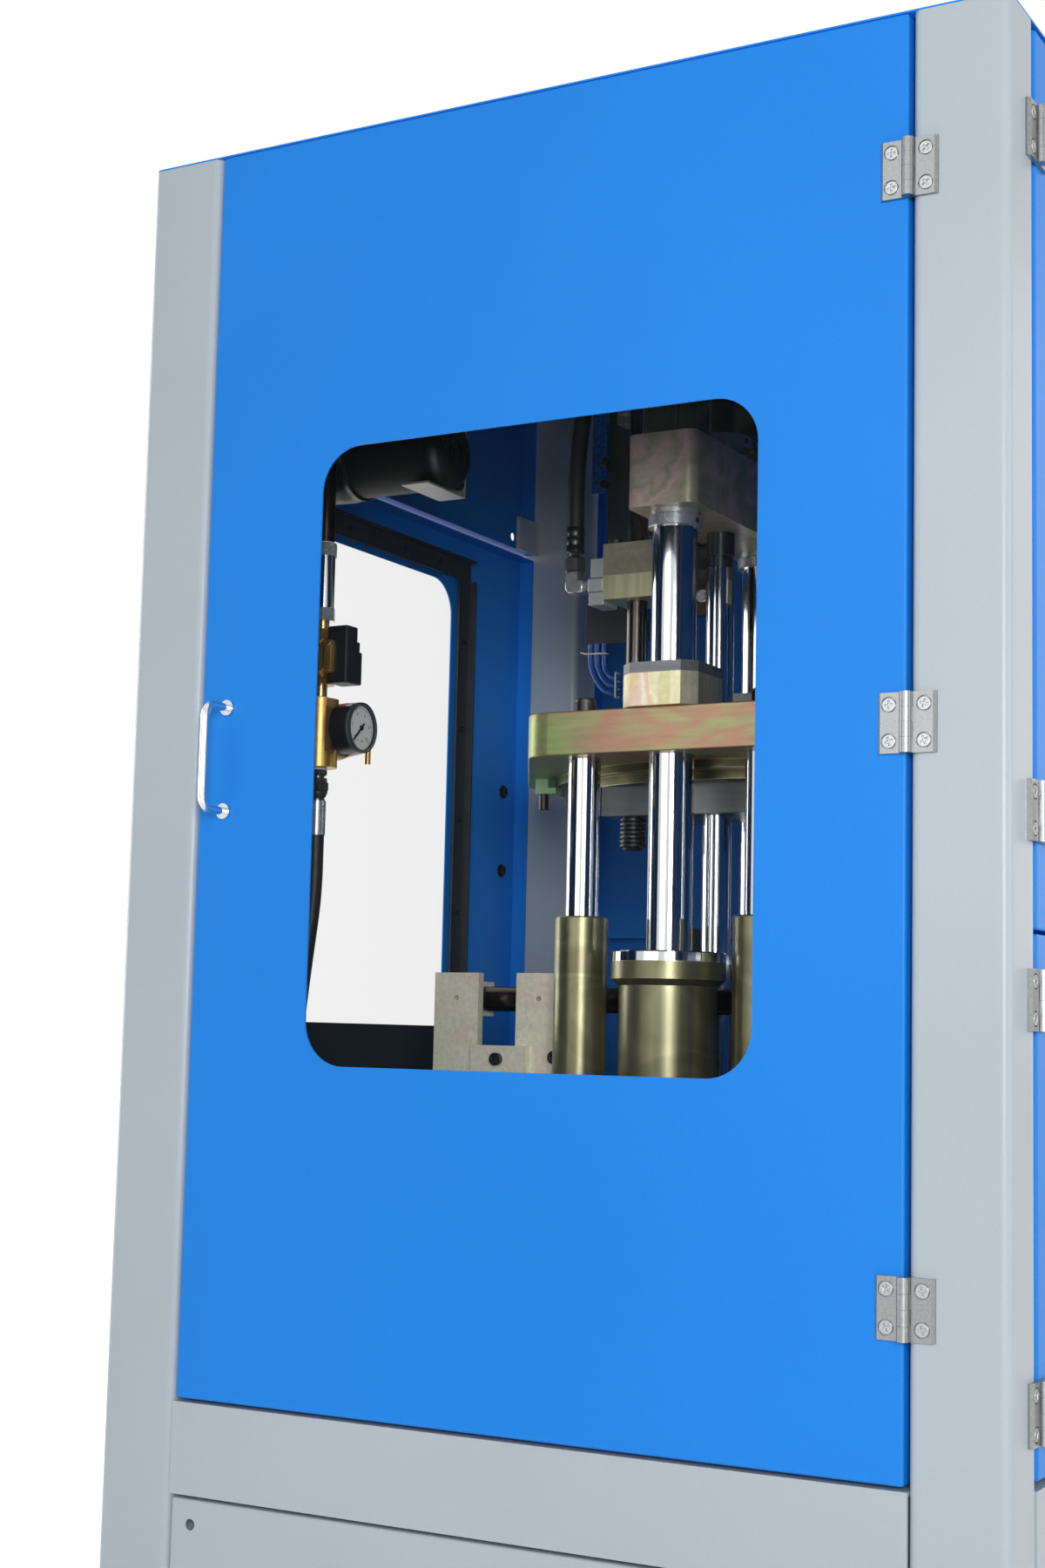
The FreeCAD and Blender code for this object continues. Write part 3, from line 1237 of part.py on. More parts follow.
def tube_hanger():
    """A cranked plate that hangs from the head plate."""
    hanger = body("Hanger")
    drawn = sketch(hanger, "XZ_Plane")
    wide, cant = "hanger_width", "hanger_width*0.3"
    polygon(drawn, [("0", "0"), (wide, "0"), (wide, "hanger_length"),
                    (cant, "hanger_length"), (cant, "hanger_foot"),
                    ("0", "hanger_foot*0.8")])
    pad(hanger, drawn, "hanger_sheet", True)
    return place(hanger, "-hanger_left", "hanger_y",
                 f"{HEAD_BOTTOM}-hanger_length")


def air_tubes():
    """Nested loops of tube from one edge of the hanger to the other."""
    low = f"({HEAD_BOTTOM}-hanger_length)"
    y = "(hanger_y+hanger_sheet/2)"
    tubes = []
    for i in range(3):
        inset = f"{2 * i + 1}*tube_pitch/2"
        left = f"(-hanger_left+{inset})"
        right = f"(-hanger_left+hanger_width-{inset})"
        bottom = f"({low}-loop_drop+{i}*tube_pitch)"
        middle = f"({low}-loop_drop/2)"
        inward = f"(({right})-({left}))*0.28"
        tubes.append(hose(f"AirTube{i + 1}", "air_tubing_radius", [
            (left, y, low), (left, y, middle),
            (f"{left}+{inward}", y, bottom),
            (f"{right}-{inward}", y, bottom),
            (right, y, middle), (right, y, low)]))
    group("air_tubes", tubes)


# ------------------------------------------------------------ power unit
def power_unit():
    """Oil tank on the bearers, with its motor and pump on the lid."""
    low = "(base_rail_bottom+base_rail_height)"
    tank = plate("Tank", "tank_width", "tank_depth", "tank_height",
                 "tank_corner")
    node(place(tank, "0", "0", low), "oil_tank")
    lid = f"({low}+tank_height)"
    axis = f"({lid}+motor_axis)"
    shell = turned("Motor", [
        ("0", "0"), ("motor_radius-18", "0"), ("motor_radius", "18"),
        ("motor_radius", "motor_length-30"),
        ("motor_radius+8", "motor_length-30"),
        ("motor_radius+8", "motor_length-14"),
        ("pump_radius", "motor_length-14"), ("pump_radius", "motor_length"),
        ("0", "motor_length")])
    place(shell, "-motor_left", "0", axis, 90, V(0, 1, 0))
    foot = box("-motor_left+60", "-motor_foot_depth/2", lid,
               "motor_foot_width", "motor_foot_depth", "12")
    web = box("-motor_left+70", "-motor_foot_depth/4", lid,
              "motor_foot_width-20", "motor_foot_depth/2", "motor_axis/2")
    face = "(-motor_left+motor_length)"
    pump = turned("Pump", [
        ("0", "0"), ("pump_radius", "0"), ("pump_radius", "pump_step"),
        ("pump_radius*0.8", "pump_step"),
        ("pump_radius*0.8", "pump_length"), ("0", "pump_length")])
    group("pump_motor", [fuse(shell, foot, web),
                         place(pump, face, "0", axis, 90, V(0, 1, 0))])


def build():
    feet()
    rails()
    panels()
    roof()
    doors()
    press_frame()
    manifolds()
    clamp_hose()
    platen_body()
    cross_shaft()
    silencer()
    air_line()
    air_tubes()
    power_unit()


def check_and_write():
    """Stop on any failed feature or shape, then write each piece's file."""
    doc.recompute()
    for thing in doc.Objects:
        if {"Invalid", "Error"} & set(thing.State):
            raise RuntimeError(f"{thing.Name} ({thing.Label}) failed")
    os.makedirs("parts", exist_ok=True)
    for label, thing in NODES.items():
        shape = Part.getShape(thing)
        if shape.isNull() or not shape.isValid() or not shape.Solids:
            raise RuntimeError(f"{label}: bad shape")
        shape.exportStep(f"parts/{label}.step")
    print(len(NODES), "pieces,",
          sum(len(Part.getShape(n).Solids) for n in NODES.values()),
          "solids")


build()
check_and_write()
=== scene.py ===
"""Finishes, fasteners and fittings of the blow moulding machine.

Sizes and places are written in millimetres, in the machine's frame, and the
mesh helpers turn them into metres. The studio is written in metres.
"""
import json
import logging
import math
from collections.abc import Callable
from dataclasses import dataclass, field
from enum import Enum

import bmesh
import bpy
from mathutils import Matrix, Vector


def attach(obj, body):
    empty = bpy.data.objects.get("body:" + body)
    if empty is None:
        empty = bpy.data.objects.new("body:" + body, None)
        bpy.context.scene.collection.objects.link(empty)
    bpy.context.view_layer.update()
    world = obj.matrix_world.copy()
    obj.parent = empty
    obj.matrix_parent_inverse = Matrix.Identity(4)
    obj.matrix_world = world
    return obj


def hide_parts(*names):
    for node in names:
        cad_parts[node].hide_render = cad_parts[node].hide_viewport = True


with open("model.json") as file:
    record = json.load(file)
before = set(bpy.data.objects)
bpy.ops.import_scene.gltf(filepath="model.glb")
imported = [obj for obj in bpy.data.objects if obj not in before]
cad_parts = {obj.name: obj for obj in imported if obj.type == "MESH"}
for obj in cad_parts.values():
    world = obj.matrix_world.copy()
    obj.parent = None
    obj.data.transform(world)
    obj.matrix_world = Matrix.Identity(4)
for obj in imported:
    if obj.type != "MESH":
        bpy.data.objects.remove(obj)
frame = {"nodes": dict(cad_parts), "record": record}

LOG = logging.getLogger("machine")
Mesh = bpy.types.Mesh
Socket = bpy.types.NodeSocket
Point = tuple[float, float, float]
Outline = list[tuple[float, float]]
Spots = list[tuple[Point, Point]]
Item = Socket | float | tuple | bool
Test = Callable[[Vector], bool]
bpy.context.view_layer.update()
RECORD = frame["record"]
HOME = {node: body for body, nodes
        in RECORD["behaviour"]["bodies"].items() for node in nodes}
MM = 0.001
UP, FORWARD, SIDEWAYS = (0.0, 0.0, 1.0), (0.0, -1.0, 0.0), (1.0, 0.0, 0.0)
SHARP = math.radians(35)


def linear(code: str) -> tuple[float, float, float, float]:
    """Turn a written colour into the renderer's numbers.

    Args:
        code: Six hexadecimal digits, as on a colour card.

    Returns:
        Linear red, green and blue, and full alpha.
    """
    knee, slope, lift, power = 0.04045, 12.92, 0.055, 2.4
    parts = (int(code[i:i + 2], 16) / 255 for i in (0, 2, 4))
    red, green, blue = (p / slope if p < knee
                        else ((p + lift) / (1 + lift)) ** power
                        for p in parts)
    return red, green, blue, 1.0


def feed(node: bpy.types.Node, items: dict) -> bpy.types.Node:
    """Give a node its inputs by name or number: values, or links.

    Args:
        node: The node.
        items: What each input gets.

    Returns:
        The same node.
    """
    for key, item in items.items():
        socket = node.inputs[key.replace("_", " ")
                             if isinstance(key, str) else key]
        if isinstance(item, Socket):
            node.id_data.links.new(item, socket)
        else:
            socket.default_value = item
    return node


def made(tree: bpy.types.NodeTree, kind: str, items: dict,
         **choices: object) -> bpy.types.Node:
    """Make a node, set its choices and give it its inputs.

    Args:
        tree: The tree that it goes in.
        kind: The node's type.
        items: What each input gets.
        choices: The node's own settings.

    Returns:
        The node.
    """
    node = tree.nodes.new(kind)
    for name, choice in choices.items():
        setattr(node, name, choice)
    return feed(node, items)


# ---------------------------------------------------------------- finishes
class Graph:
    """The shader nodes of one finish, joined in a few words."""

    def __init__(self, name: str) -> None:
        """Start a material with its one principled shader.

        Args:
            name: The material's name.
        """
        self.material = bpy.data.materials.new(name)
        self.material.use_nodes = True
        self.tree = self.material.node_tree
        self.shader = next(n for n in self.tree.nodes
                           if n.type == "BSDF_PRINCIPLED")
        self.object = self.add("TexCoord").outputs["Object"]

    def add(self, kind: str, **items: Item) -> bpy.types.Node:
        """Make a node of this kind with these inputs."""
        return made(self.tree, f"ShaderNode{kind}", items)

    def finish(self, **items: Item) -> None:
        """Set these inputs of the shader."""
        feed(self.shader, items)

    def noise(self, scale: float, detail: float = 2.0,
              stretch: Point = (1, 1, 1), warp: float = 0.0) -> Socket:
        """Soft noise on the piece's own coordinates.

        Args:
            scale: Grains per metre.
            detail: Octaves of finer grain.
            stretch: Scale along each axis; small draws the grain out.
            warp: How far the noise is bent on itself.

        Returns:
            The grey level, about 0.3 to 0.7.
        """
        spread = self.add("Mapping", Vector=self.object, Scale=stretch)
        return self.add("TexNoise", Vector=spread.outputs[0], Scale=scale,
                        Detail=detail, Distortion=warp).outputs[0]

    def span(self, source: Socket, low: float, high: float,
             start: float = 0.3, end: float = 0.7) -> Socket:
        """Map a grey level to numbers between low and high."""
        return self.add("MapRange", Value=source, From_Min=start,
                        From_Max=end, To_Min=low, To_Max=high).outputs[0]

    def ramp(self, source: Socket, stops: list[tuple[float, str]]) -> Socket:
        """Colour a grey level through written colours.

        Args:
            source: The grey level.
            stops: Places from 0 to 1, each with its colour.

        Returns:
            The colour.
        """
        node = self.add("ValToRGB", Fac=source)
        band = node.color_ramp.elements
        while len(band) < len(stops):
            band.new(0.5)
        for element, (place, code) in zip(band, stops):
            element.position, element.color = place, linear(code)
        return node.outputs[0]

    def mix(self, share: Item, first: Item, second: Item,
            how: str = "MIX") -> Socket:
        """Mix two colours by a share, or blend them another way."""
        return made(self.tree, "ShaderNodeMix",
                    {0: share, 6: first, 7: second},
                    data_type="RGBA", blend_type=how).outputs[2]

    def sum(self, first: Item, second: Item, how: str = "ADD") -> Socket:
        """Two numbers added, or combined another way."""
        return made(self.tree, "ShaderNodeMath", {0: first, 1: second},
                    operation=how).outputs[0]

    def grey(self, level: Socket) -> Socket:
        """A grey level as a colour."""
        return self.add("CombineColor", Red=level, Green=level,
                        Blue=level).outputs[0]

    def edges(self, radius: float) -> Socket:
        """One along the sharp edges and nought on the flats.

        Args:
            radius: How far it reaches from an edge, in metres.

        Returns:
            The grey level.
        """
        sharp, flat = 0.72, 0.99
        turned = made(self.tree, "ShaderNodeBevel", {"Radius": radius},
                      samples=4)
        meet = made(self.tree, "ShaderNodeVectorMath", {
            0: turned.outputs[0],
            1: self.add("NewGeometry").outputs["Normal"]},
                    operation="DOT_PRODUCT")
        return self.span(meet.outputs["Value"], 1.0, 0.0, sharp, flat)

    def mottle(self, code: str, source: Socket, spread: float) -> Socket:
        """The colour, a little darker and lighter by a grey level.

        Args:
            code: The middle colour.
            source: The grey level.
            spread: How much darker and lighter it gets.

        Returns:
            The colour.
        """
        base = linear(code)[:3]
        dark, pale = (tuple(min(1.0, c * k) for c in base) + (1.0,)
                      for k in (1 - spread, 1 + spread))
        return self.mix(self.span(source, 0, 1), dark, pale)

    def relief(self, source: Socket, depth: float, strength: float) -> None:
        """Let a grey level raise the surface by up to depth metres."""
        self.finish(Normal=self.add("Bump", Height=source, Distance=depth,
                                    Strength=strength).outputs[0])


@dataclass(frozen=True)
class Finish:
    """A surface finish: its name and its main colour or colours."""

    name: str
    colour: str

    def paint(self, graph: Graph) -> None:
        """Set the shader's inputs; each kind of finish has its own."""
        raise NotImplementedError

    def material(self) -> bpy.types.Material:
        """The finish's material, made the first time it is asked for.

        Returns:
            The material.
        """
        found = bpy.data.materials.get(self.name)
        if found:
            return found
        graph = Graph(self.name)
        self.paint(graph)
        return graph.material


@dataclass(frozen=True)
class PowderCoat(Finish):
    """Baked powder paint with its orange-peel grain."""

    grain: float
    speck: float
    depth: float = 0.00012
    gloss: float = 0.42
    shine: float = 0.5

    def paint(self, graph: Graph) -> None:
        """Fine specks, slow shade changes and a grained surface.

        Args:
            graph: The nodes of the finish.
        """
        fine = graph.noise(self.grain, 3.0)
        body = graph.mottle(self.colour, fine, self.speck)
        cloud = graph.grey(graph.span(graph.noise(2.2), 0.965, 1.035))
        graph.finish(
            Specular_IOR_Level=self.shine,
            Base_Color=graph.mix(1.0, body, cloud, "MULTIPLY"),
            Roughness=graph.span(fine, self.gloss - 0.06, self.gloss + 0.08))
        graph.relief(fine, self.depth, 0.6)


@dataclass(frozen=True)
class Metal(Finish):
    """Bare metal with a drawn grain and small scuffs."""

    gloss: float
    grain: float
    streak: float
    drawn: Point = (1.0, 1.0, 1.0)
    depth: float = 0.00004
    metal: float = 1.0

    def paint(self, graph: Graph) -> None:
        """Grain in the shade, the gloss and the surface.

        Args:
            graph: The nodes of the finish.
        """
        drawn = graph.noise(self.grain, 4.0, self.drawn)
        scuff = graph.noise(18.0, 5.0, warp=0.6)
        rough = graph.sum(
            graph.span(drawn, self.gloss * 0.95, self.gloss * 1.06),
            graph.span(scuff, -0.01, 0.02))
        graph.finish(Metallic=self.metal, Roughness=rough,
                     Base_Color=graph.mottle(self.colour, drawn,
                                             self.streak))
        graph.relief(drawn, self.depth, 0.4)


@dataclass(frozen=True)
class Chromate(Finish):
    """Zinc with an iridescent film: its colours, over brushed steel."""

    gloss: float
    metal: float
    patch: float = 7.0
    spread: Point = (1.0, 1.0, 1.7)
    drawn: Point = (1.0, 1.0, 1.0)
    drift: float = 0.0

    def paint(self, graph: Graph) -> None:
        """Clouds of gold, green and pink, brush marks and paler edges.

        Args:
            graph: The nodes of the finish.
        """
        first, step, rub, bare = 0.36, 0.07, 0.0015, linear("cfc9b0")
        cloud = graph.noise(self.patch, 2.5, self.spread, 0.9)
        across = graph.add("SeparateXYZ", Vector=graph.object).outputs[0]
        cloud = graph.sum(cloud, graph.sum(across, self.drift, "MULTIPLY"))
        film = graph.ramp(cloud, [
            (first + step * i, code)
            for i, code in enumerate(self.colour.split())])
        marks = graph.noise(160.0, 3.0, self.drawn)
        shade = graph.grey(graph.sum(
            graph.span(marks, 0.9, 1.08),
            graph.span(graph.noise(900.0), 0.94, 1.06), "MULTIPLY"))
        worn = graph.mix(graph.edges(rub),
                         graph.mix(1.0, film, shade, "MULTIPLY"), bare)
        graph.finish(
            Metallic=self.metal, Base_Color=worn,
            Roughness=graph.span(marks, self.gloss - 0.02, self.gloss + 0.05))
        graph.relief(marks, 0.000004, 0.3)


@dataclass(frozen=True)
class Moulded(Finish):
    """Plastic, rubber or enamel: no metal, a soft surface grain."""

    gloss: float
    spread: float = 0.15
    grain: float = 300.0

    def paint(self, graph: Graph) -> None:
        """A faint mottle and a grained surface.

        Args:
            graph: The nodes of the finish.
        """
        grain = graph.noise(self.grain, 3.0)
        dust = graph.noise(14.0, 5.0)
        graph.finish(
            Base_Color=graph.mottle(self.colour, dust, self.spread),
            Roughness=graph.span(grain, self.gloss - 0.08, self.gloss + 0.1))
        graph.relief(grain, 0.00008, 0.5)


@dataclass(frozen=True)
class Acrylic(Finish):
    """Clear sheet: nearly all passes straight on, and the rest shines."""

    def paint(self, graph: Graph) -> None:
        """More of the shine shows at a glancing angle.

        Args:
            graph: The nodes of the finish.
        """
        facing = graph.add("LayerWeight", Blend=0.5).outputs["Facing"]
        graph.finish(
            Base_Color=linear(self.colour), Roughness=0.02, IOR=1.49,
            Alpha=graph.span(graph.sum(facing, 4.0, "POWER"),
                             0.02, 0.8, 0, 1))


@dataclass(frozen=True)
class Weave(Finish):
    """Woven wire cloth over a dark core."""

    def paint(self, graph: Graph) -> None:
        """Two crossed sets of wires, one round and one along.

        Args:
            graph: The nodes of the finish.
        """
        wires = graph.sum(*(
            made(graph.tree, "ShaderNodeTexWave", {
                "Vector": graph.object, "Scale": 420.0, "Distortion": 0.4},
                 bands_direction=axis).outputs[1]
            for axis in ("X", "Z")), "MULTIPLY")
        graph.finish(Metallic=0.5, Roughness=0.5, Base_Color=graph.ramp(
            wires, [(0.0, "080907"), (0.6, self.colour), (1.0, "34331f")]))
        graph.relief(wires, 0.0002, 0.6)


ALONG_Z, ALONG_Z_FINE, EVEN = (1, 1, 0.05), (1, 1, 0.02), (1, 1, 1)
BLUE_COAT = PowderCoat("blue_powder_coat", "1c88ea", 850, 0.12, shine=0.25)
GREY_COAT = PowderCoat("grey_powder_coat", "b5c0c8", 520, 0.03, 0.00008,
                       0.36)
HINGE_STEEL = Metal("satin_hinge_steel", "929494", 0.34, 420, 0.12,
                    depth=0.00003)
CHROME = Metal("hard_chrome", "d3d6d8", 0.09, 260, 0.05, ALONG_Z_FINE,
               0.00001)
BAR_CHROME = Metal("bow_handle_chrome", "dcdedf", 0.07, 90, 0.04,
                   depth=0.00001)
DARK_STEEL = Metal("oiled_ground_steel", "4f4a47", 0.22, 200, 0.2,
                   (1, 1, 0.03))
BRONZE_STEEL = Metal("dark_bronze_bar", "3a332b", 0.3, 160, 0.25)
ZINC = Metal("bright_zinc", "b4b7b9", 0.26, 120, 0.08, depth=0.000006,
             metal=0.6)
CAST_ZINC = Metal("cast_zinc", "a9adaf", 0.42, 700, 0.12, depth=0.0001,
                  metal=0.4)
SHELF_STEEL = Metal("folded_shelf_steel", "a5a39d", 0.36, 90, 0.12,
                    metal=0.3)
NUT_STEEL = Metal("dark_nickel_nut", "585a59", 0.3, 140, 0.2, metal=0.7)
CRIMP_STEEL = Metal("dark_crimp_steel", "3c4445", 0.3, 120, 0.2, ALONG_Z,
                    metal=0.8)
MILLED = Metal("milled_steel", "777a7a", 0.36, 150, 0.16, (0.06, 1, 1),
               metal=0.6)
BLACK_OXIDE = Metal("black_oxide", "2b2a2a", 0.38, 180, 0.3)
BRASS = Metal("cast_brass", "bd9858", 0.32, 90, 0.14, metal=0.8)
TURNED_BRASS = Metal("turned_brass", "c9ab6c", 0.22, 120, 0.08,
                     depth=0.00001, metal=0.85)
SLEEVE_GOLD = Chromate(
    "olive_chromate_tube", "6e6c52 7a785c 858264 747357 7d7b5c",
    0.3, 0.7, drawn=ALONG_Z_FINE)
BARREL_GOLD = Chromate(
    "dark_chromate_barrel", "474a35 5a5a3d 65613f 4d5138 5d5a3e",
    0.28, 0.7, drawn=ALONG_Z_FINE)
# Partly the beam's own chromate film and partly painted light: its colours are
# made paler and it is made less metallic to make up for the little light that
# reaches it inside the cabinet.
BEAM_GOLD_WITH_PAINTED_LIGHT = Chromate(
    "chromate_beam_with_painted_light", "9c9b84 b8af97 d4b6b2 a8a58a cbb9a8",
    0.36, 0.35, 9, EVEN)
PLATE_GOLD = Chromate(
    "iridescent_chromate_plate", "8fa566 a2b274 a89f74 b58b72 a9a676",
    0.38, 0.6, 9, (0.45, 1, 1.6), (0.1, 1, 1), 0.3)
BRIGHT_GOLD = Chromate(
    "bright_chromate_block", "c0c79b cfd0a4 dcdbb6 c6cba0 cfc8a0",
    0.34, 0.7, 5, (1, 1, 0.3), ALONG_Z)
CLAY_GOLD = Chromate(
    "dull_chromate_block", "8b8777 96917f 9f9a86 8f8a79 999481",
    0.45, 0.6, 12)
CREAM_GOLD = Chromate(
    "cream_chromate_block", "cfc99a e0dcbb d8c694 dcc0b4 e6e0c4",
    0.34, 0.75, 26, (1, 1, 0.15))
# Partly the support plates' own pale film and partly painted light: the
# colours are raised near white and the metal turned down to make up for the
# little light that reaches the plates.
PALE_GOLD_WITH_PAINTED_LIGHT = Chromate(
    "pale_chromate_plate_with_painted_light", "e6e4ce eeebd6 e3e6cc ecdccc f1edd9",
    0.42, 0.15, 9)
# Painted shade: the mould disc's chromate is made much darker than the other
# chromate finishes because its front lies in shade.
SHADE_DARKENED_DISC_GOLD = Chromate(
    "shade_darkened_chromate_disc", "3d3c28 4a4830 58553b 45462d 504c33",
    0.33, 1.0, 6, drawn=ALONG_Z)
RUBBER = Moulded("black_hose_rubber", "1c1d1f", 0.48)
BLACK_PLASTIC = Moulded("black_moulded_plastic", "17181a", 0.42)
DRUM_SHELL = Moulded("black_drum_shell", "151714", 0.36, grain=160)
SENSOR_GREEN = Moulded("pale_green_plastic", "a9d0a4", 0.4, 0.05)
DARK_TRIM = Moulded("dark_trim_paint", "2c3236", 0.4)
TANK_ENAMEL = Moulded("dark_tank_enamel", "59626b", 0.35, grain=90)
MOTOR_ENAMEL = Moulded("blue_motor_enamel", "2f5f8c", 0.35, grain=120)
TUBE_BLUE = Moulded("blue_air_tube", "1450a0", 0.28, 0.08)
TIE_WHITE = Moulded("natural_nylon_tie", "d9dbd8", 0.4, 0.04)
TAPE_WHITE = Moulded("thread_tape", "dcdcd8", 0.6, 0.06, 500)
CLEAR = Acrylic("clear_acrylic", "30383c")
DIAL_GLASS = Acrylic("dial_glass", "3a4144")
DRUM_CLOTH = Weave("drum_wire_cloth", "1c1d14")
DIAL_WHITE = Moulded("dial_white", "f4f6f7", 0.4, 0.02)
DIAL_BLACK = Moulded("dial_black", "101112", 0.45, 0.02)
RIM_GREY = Moulded("grey_rim_plastic", "4c5459", 0.2, 0.04)
TAG_RED = Moulded("tag_red", "d8442a", 0.45, 0.04)


def wear(node: str, finish: Finish) -> None:
    """Put a finish on a CAD piece, in its object's own slots.

    Args:
        node: The CAD piece.
        finish: Its finish.
    """
    piece = frame["nodes"][node]
    if not piece.material_slots:
        piece.data.materials.append(None)
    for place in piece.material_slots:
        place.link = "OBJECT"
        place.material = finish.material()


# ------------------------------------------------------------ mesh helpers
def held(name: str, data: bpy.types.ID) -> bpy.types.Object:
    """An object of this data, in the scene.

    Args:
        name: The object's name.
        data: Its mesh, curve, lamp or camera.

    Returns:
        The object.
    """
    piece = bpy.data.objects.new(name, data)
    bpy.context.scene.collection.objects.link(piece)
    return piece


def baked(piece: bpy.types.Object) -> Mesh:
    """The plain mesh of an object, which is then taken away.

    Args:
        piece: The object, with its modifiers.

    Returns:
        The mesh.
    """
    bpy.context.view_layer.update()
    seen = piece.evaluated_get(bpy.context.evaluated_depsgraph_get())
    mesh = bpy.data.meshes.new_from_object(seen)
    piece.modifiers.clear()
    bpy.data.objects.remove(piece)
    return mesh


def ended(work: bmesh.types.BMesh, name: str) -> Mesh:
    """Close the work on a mesh and keep it under this name.

    Args:
        work: The mesh that was worked on.
        name: Its name.

    Returns:
        The mesh.
    """
    mesh = bpy.data.meshes.new(name)
    work.to_mesh(mesh)
    work.free()
    return mesh


def moved(mesh: Mesh, step: Matrix) -> Mesh:
    """The same mesh, carried by this step."""
    mesh.transform(step)
    return mesh


def shift(x: float, y: float, z: float) -> Matrix:
    """A move by millimetres."""
    return Matrix.Translation((x * MM, y * MM, z * MM))


def frame_of(place: Point, facing: Point) -> Matrix:
    """A frame whose Z faces out of a surface and whose Y is up.

    Args:
        place: Where it stands.
        facing: The way that Z points.

    Returns:
        The frame as a move from the origin.
    """
    z_axis = Vector(facing).normalized()
    x_axis = Vector(UP).cross(z_axis).normalized()
    y_axis = z_axis.cross(x_axis)
    turn = Matrix((x_axis, y_axis, z_axis)).transposed().to_4x4()
    return shift(*place) @ turn


def rounded(work: bmesh.types.BMesh) -> None:
    """Smooth the curves of a mesh and keep its flats flat.

    Sharp edges stay sharp, and so do the edges between a face and a much
    larger flat.

    Args:
        work: The mesh, with doubles merged.
    """
    level, larger = 0.99999, 3
    size: dict[int, float] = {}
    seen: set[int] = set()
    for start in work.faces:
        start.smooth = True
        if start.index in seen:
            continue
        patch, waiting = [], [start]
        seen.add(start.index)
        while waiting:
            face = waiting.pop()
            patch.append(face)
            for other in (f for e in face.edges for f in e.link_faces):
                if (other.index not in seen
                        and other.normal.dot(face.normal) > level):
                    seen.add(other.index)
                    waiting.append(other)
        area = sum(face.calc_area() for face in patch)
        size.update((face.index, area) for face in patch)
    for edge in work.edges:
        if len(edge.link_faces) != 2:
            continue
        one, two = edge.link_faces
        turn = one.normal.dot(two.normal)
        areas = sorted((size[one.index], size[two.index]))
        edge.smooth = turn > level or (
            turn > math.cos(SHARP) and areas[1] < areas[0] * larger)


def settle(name: str, mesh: Mesh, finish: Finish | None = None,
           body: str = "cabinet") -> bpy.types.Object:
    """Make a finished piece of a mesh that is already in its place.

    Args:
        name: The piece's name.
        mesh: Its mesh, in the machine's frame.
        finish: Its finish, unless the mesh has one already.
        body: The CAD body that it moves with.

    Returns:
        The piece.
    """
    piece = held(name, mesh)
    if finish:
        mesh.materials.clear()
        mesh.materials.append(finish.material())
    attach(piece, body)
    LOG.info("%s: %d faces on %s", name, len(mesh.polygons), body)
    return piece


def stand_in(node: str, *parts: tuple[str, Mesh, Finish]) -> None:
    """Put named and finished meshes in a CAD piece's place.

    Args:
        node: The CAD piece.
        parts: Each one's name, mesh and finish.
    """
    for name, mesh, finish in parts:
        piece = settle(name, mesh, finish, HOME[node])
        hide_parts(node)


def recast(node: str, *parts: tuple[str, Finish, Test]) -> None:
    """Stand smooth copies in for a CAD piece of one or several finishes.

    Args:
        node: The CAD piece.
        parts: Names, finishes and tests; a face goes to the parts whose
            test passes a point just under its middle, in millimetres.
    """
    under = 0.0001
    for name, finish, test in parts:
        work = bmesh.new()
        work.from_mesh(frame["nodes"][node].data)
        bmesh.ops.delete(work, context="FACES", geom=[
            face for face in work.faces if not test(
                (face.calc_center_median() - face.normal * under) / MM)])
        bmesh.ops.remove_doubles(work, verts=work.verts, dist=1e-6)
        work.faces.index_update()
        rounded(work)
        stand_in(node, (name, ended(work, name), finish))


def between(low: float, high: float = math.inf) -> Test:
    """A test for the points between two heights."""
    return lambda point: low < point.z < high


def polish(node: str, finish: Finish) -> None:
    """Stand one smooth copy in for a rounded CAD piece."""
    recast(node, (f"{node}_smooth", finish, lambda _: True))


def circle(count: int) -> Outline:
    """Places evenly round a circle of radius one."""
    turns = (math.tau * i / count for i in range(count))
    return [(math.cos(turn), math.sin(turn)) for turn in turns]


def ring_of(radius: float, sides: int) -> Outline:
    """The corners of a regular outline."""
    return [(radius * x, radius * y) for x, y in circle(sides)]


def lathe(profile: Outline, sides: int = 32, low: float = 0.0) -> Mesh:
    """Turn an outline about Z.

    Args:
        profile: Its (radius, height) points.
        sides: Faces round it; six makes a hexagon with sharp edges.
        low: What the heights are counted from.

    Returns:
        The mesh.
    """
    work = bmesh.new()
    rings = []
    for radius, height in profile:
        z = (low + height) * MM
        rings.append([work.verts.new((x, y, z)) for x, y in ring_of(
            radius * MM, sides if radius else 1)])
    for below, above in zip(rings, rings[1:]):
        for i in range(sides):
            j = (i + 1) % sides
            face = list(dict.fromkeys((
                below[i % len(below)], below[j % len(below)],
                above[j % len(above)], above[i % len(above)])))
            if len(face) > 2:
                work.faces.new(face)
    bmesh.ops.recalc_face_normals(work, faces=work.faces)
    mesh = ended(work, "Turned")
    if sides != 6:
        mesh.shade_smooth()
        mesh.set_sharp_from_angle(angle=SHARP)
    return mesh


def block(low: Point, high: Point, soft: float = 0.0) -> Mesh:
    """A block between two corners, with softened edges.

    Args:
        low: The corner with the lowest numbers.
        high: The corner with the highest numbers.
        soft: How much comes off each edge.

    Returns:
        The mesh.
    """
    work = bmesh.new()
    bmesh.ops.create_cube(work, size=1.0)
    start, end = (Vector(c * MM for c in corner) for corner in (low, high))
    size, middle = end - start, (end + start) / 2
    for vert in work.verts:
        vert.co = Vector(a * b for a, b in zip(vert.co, size)) + middle
    if soft:
        soften(work, soft)
    return ended(work, "Block")


def soften(work: bmesh.types.BMesh, soft: float) -> None:
    """Round every edge by this much."""
    bmesh.ops.bevel(work, geom=work.edges[:], offset=soft * MM, segments=2,
                    affect="EDGES", profile=0.5)


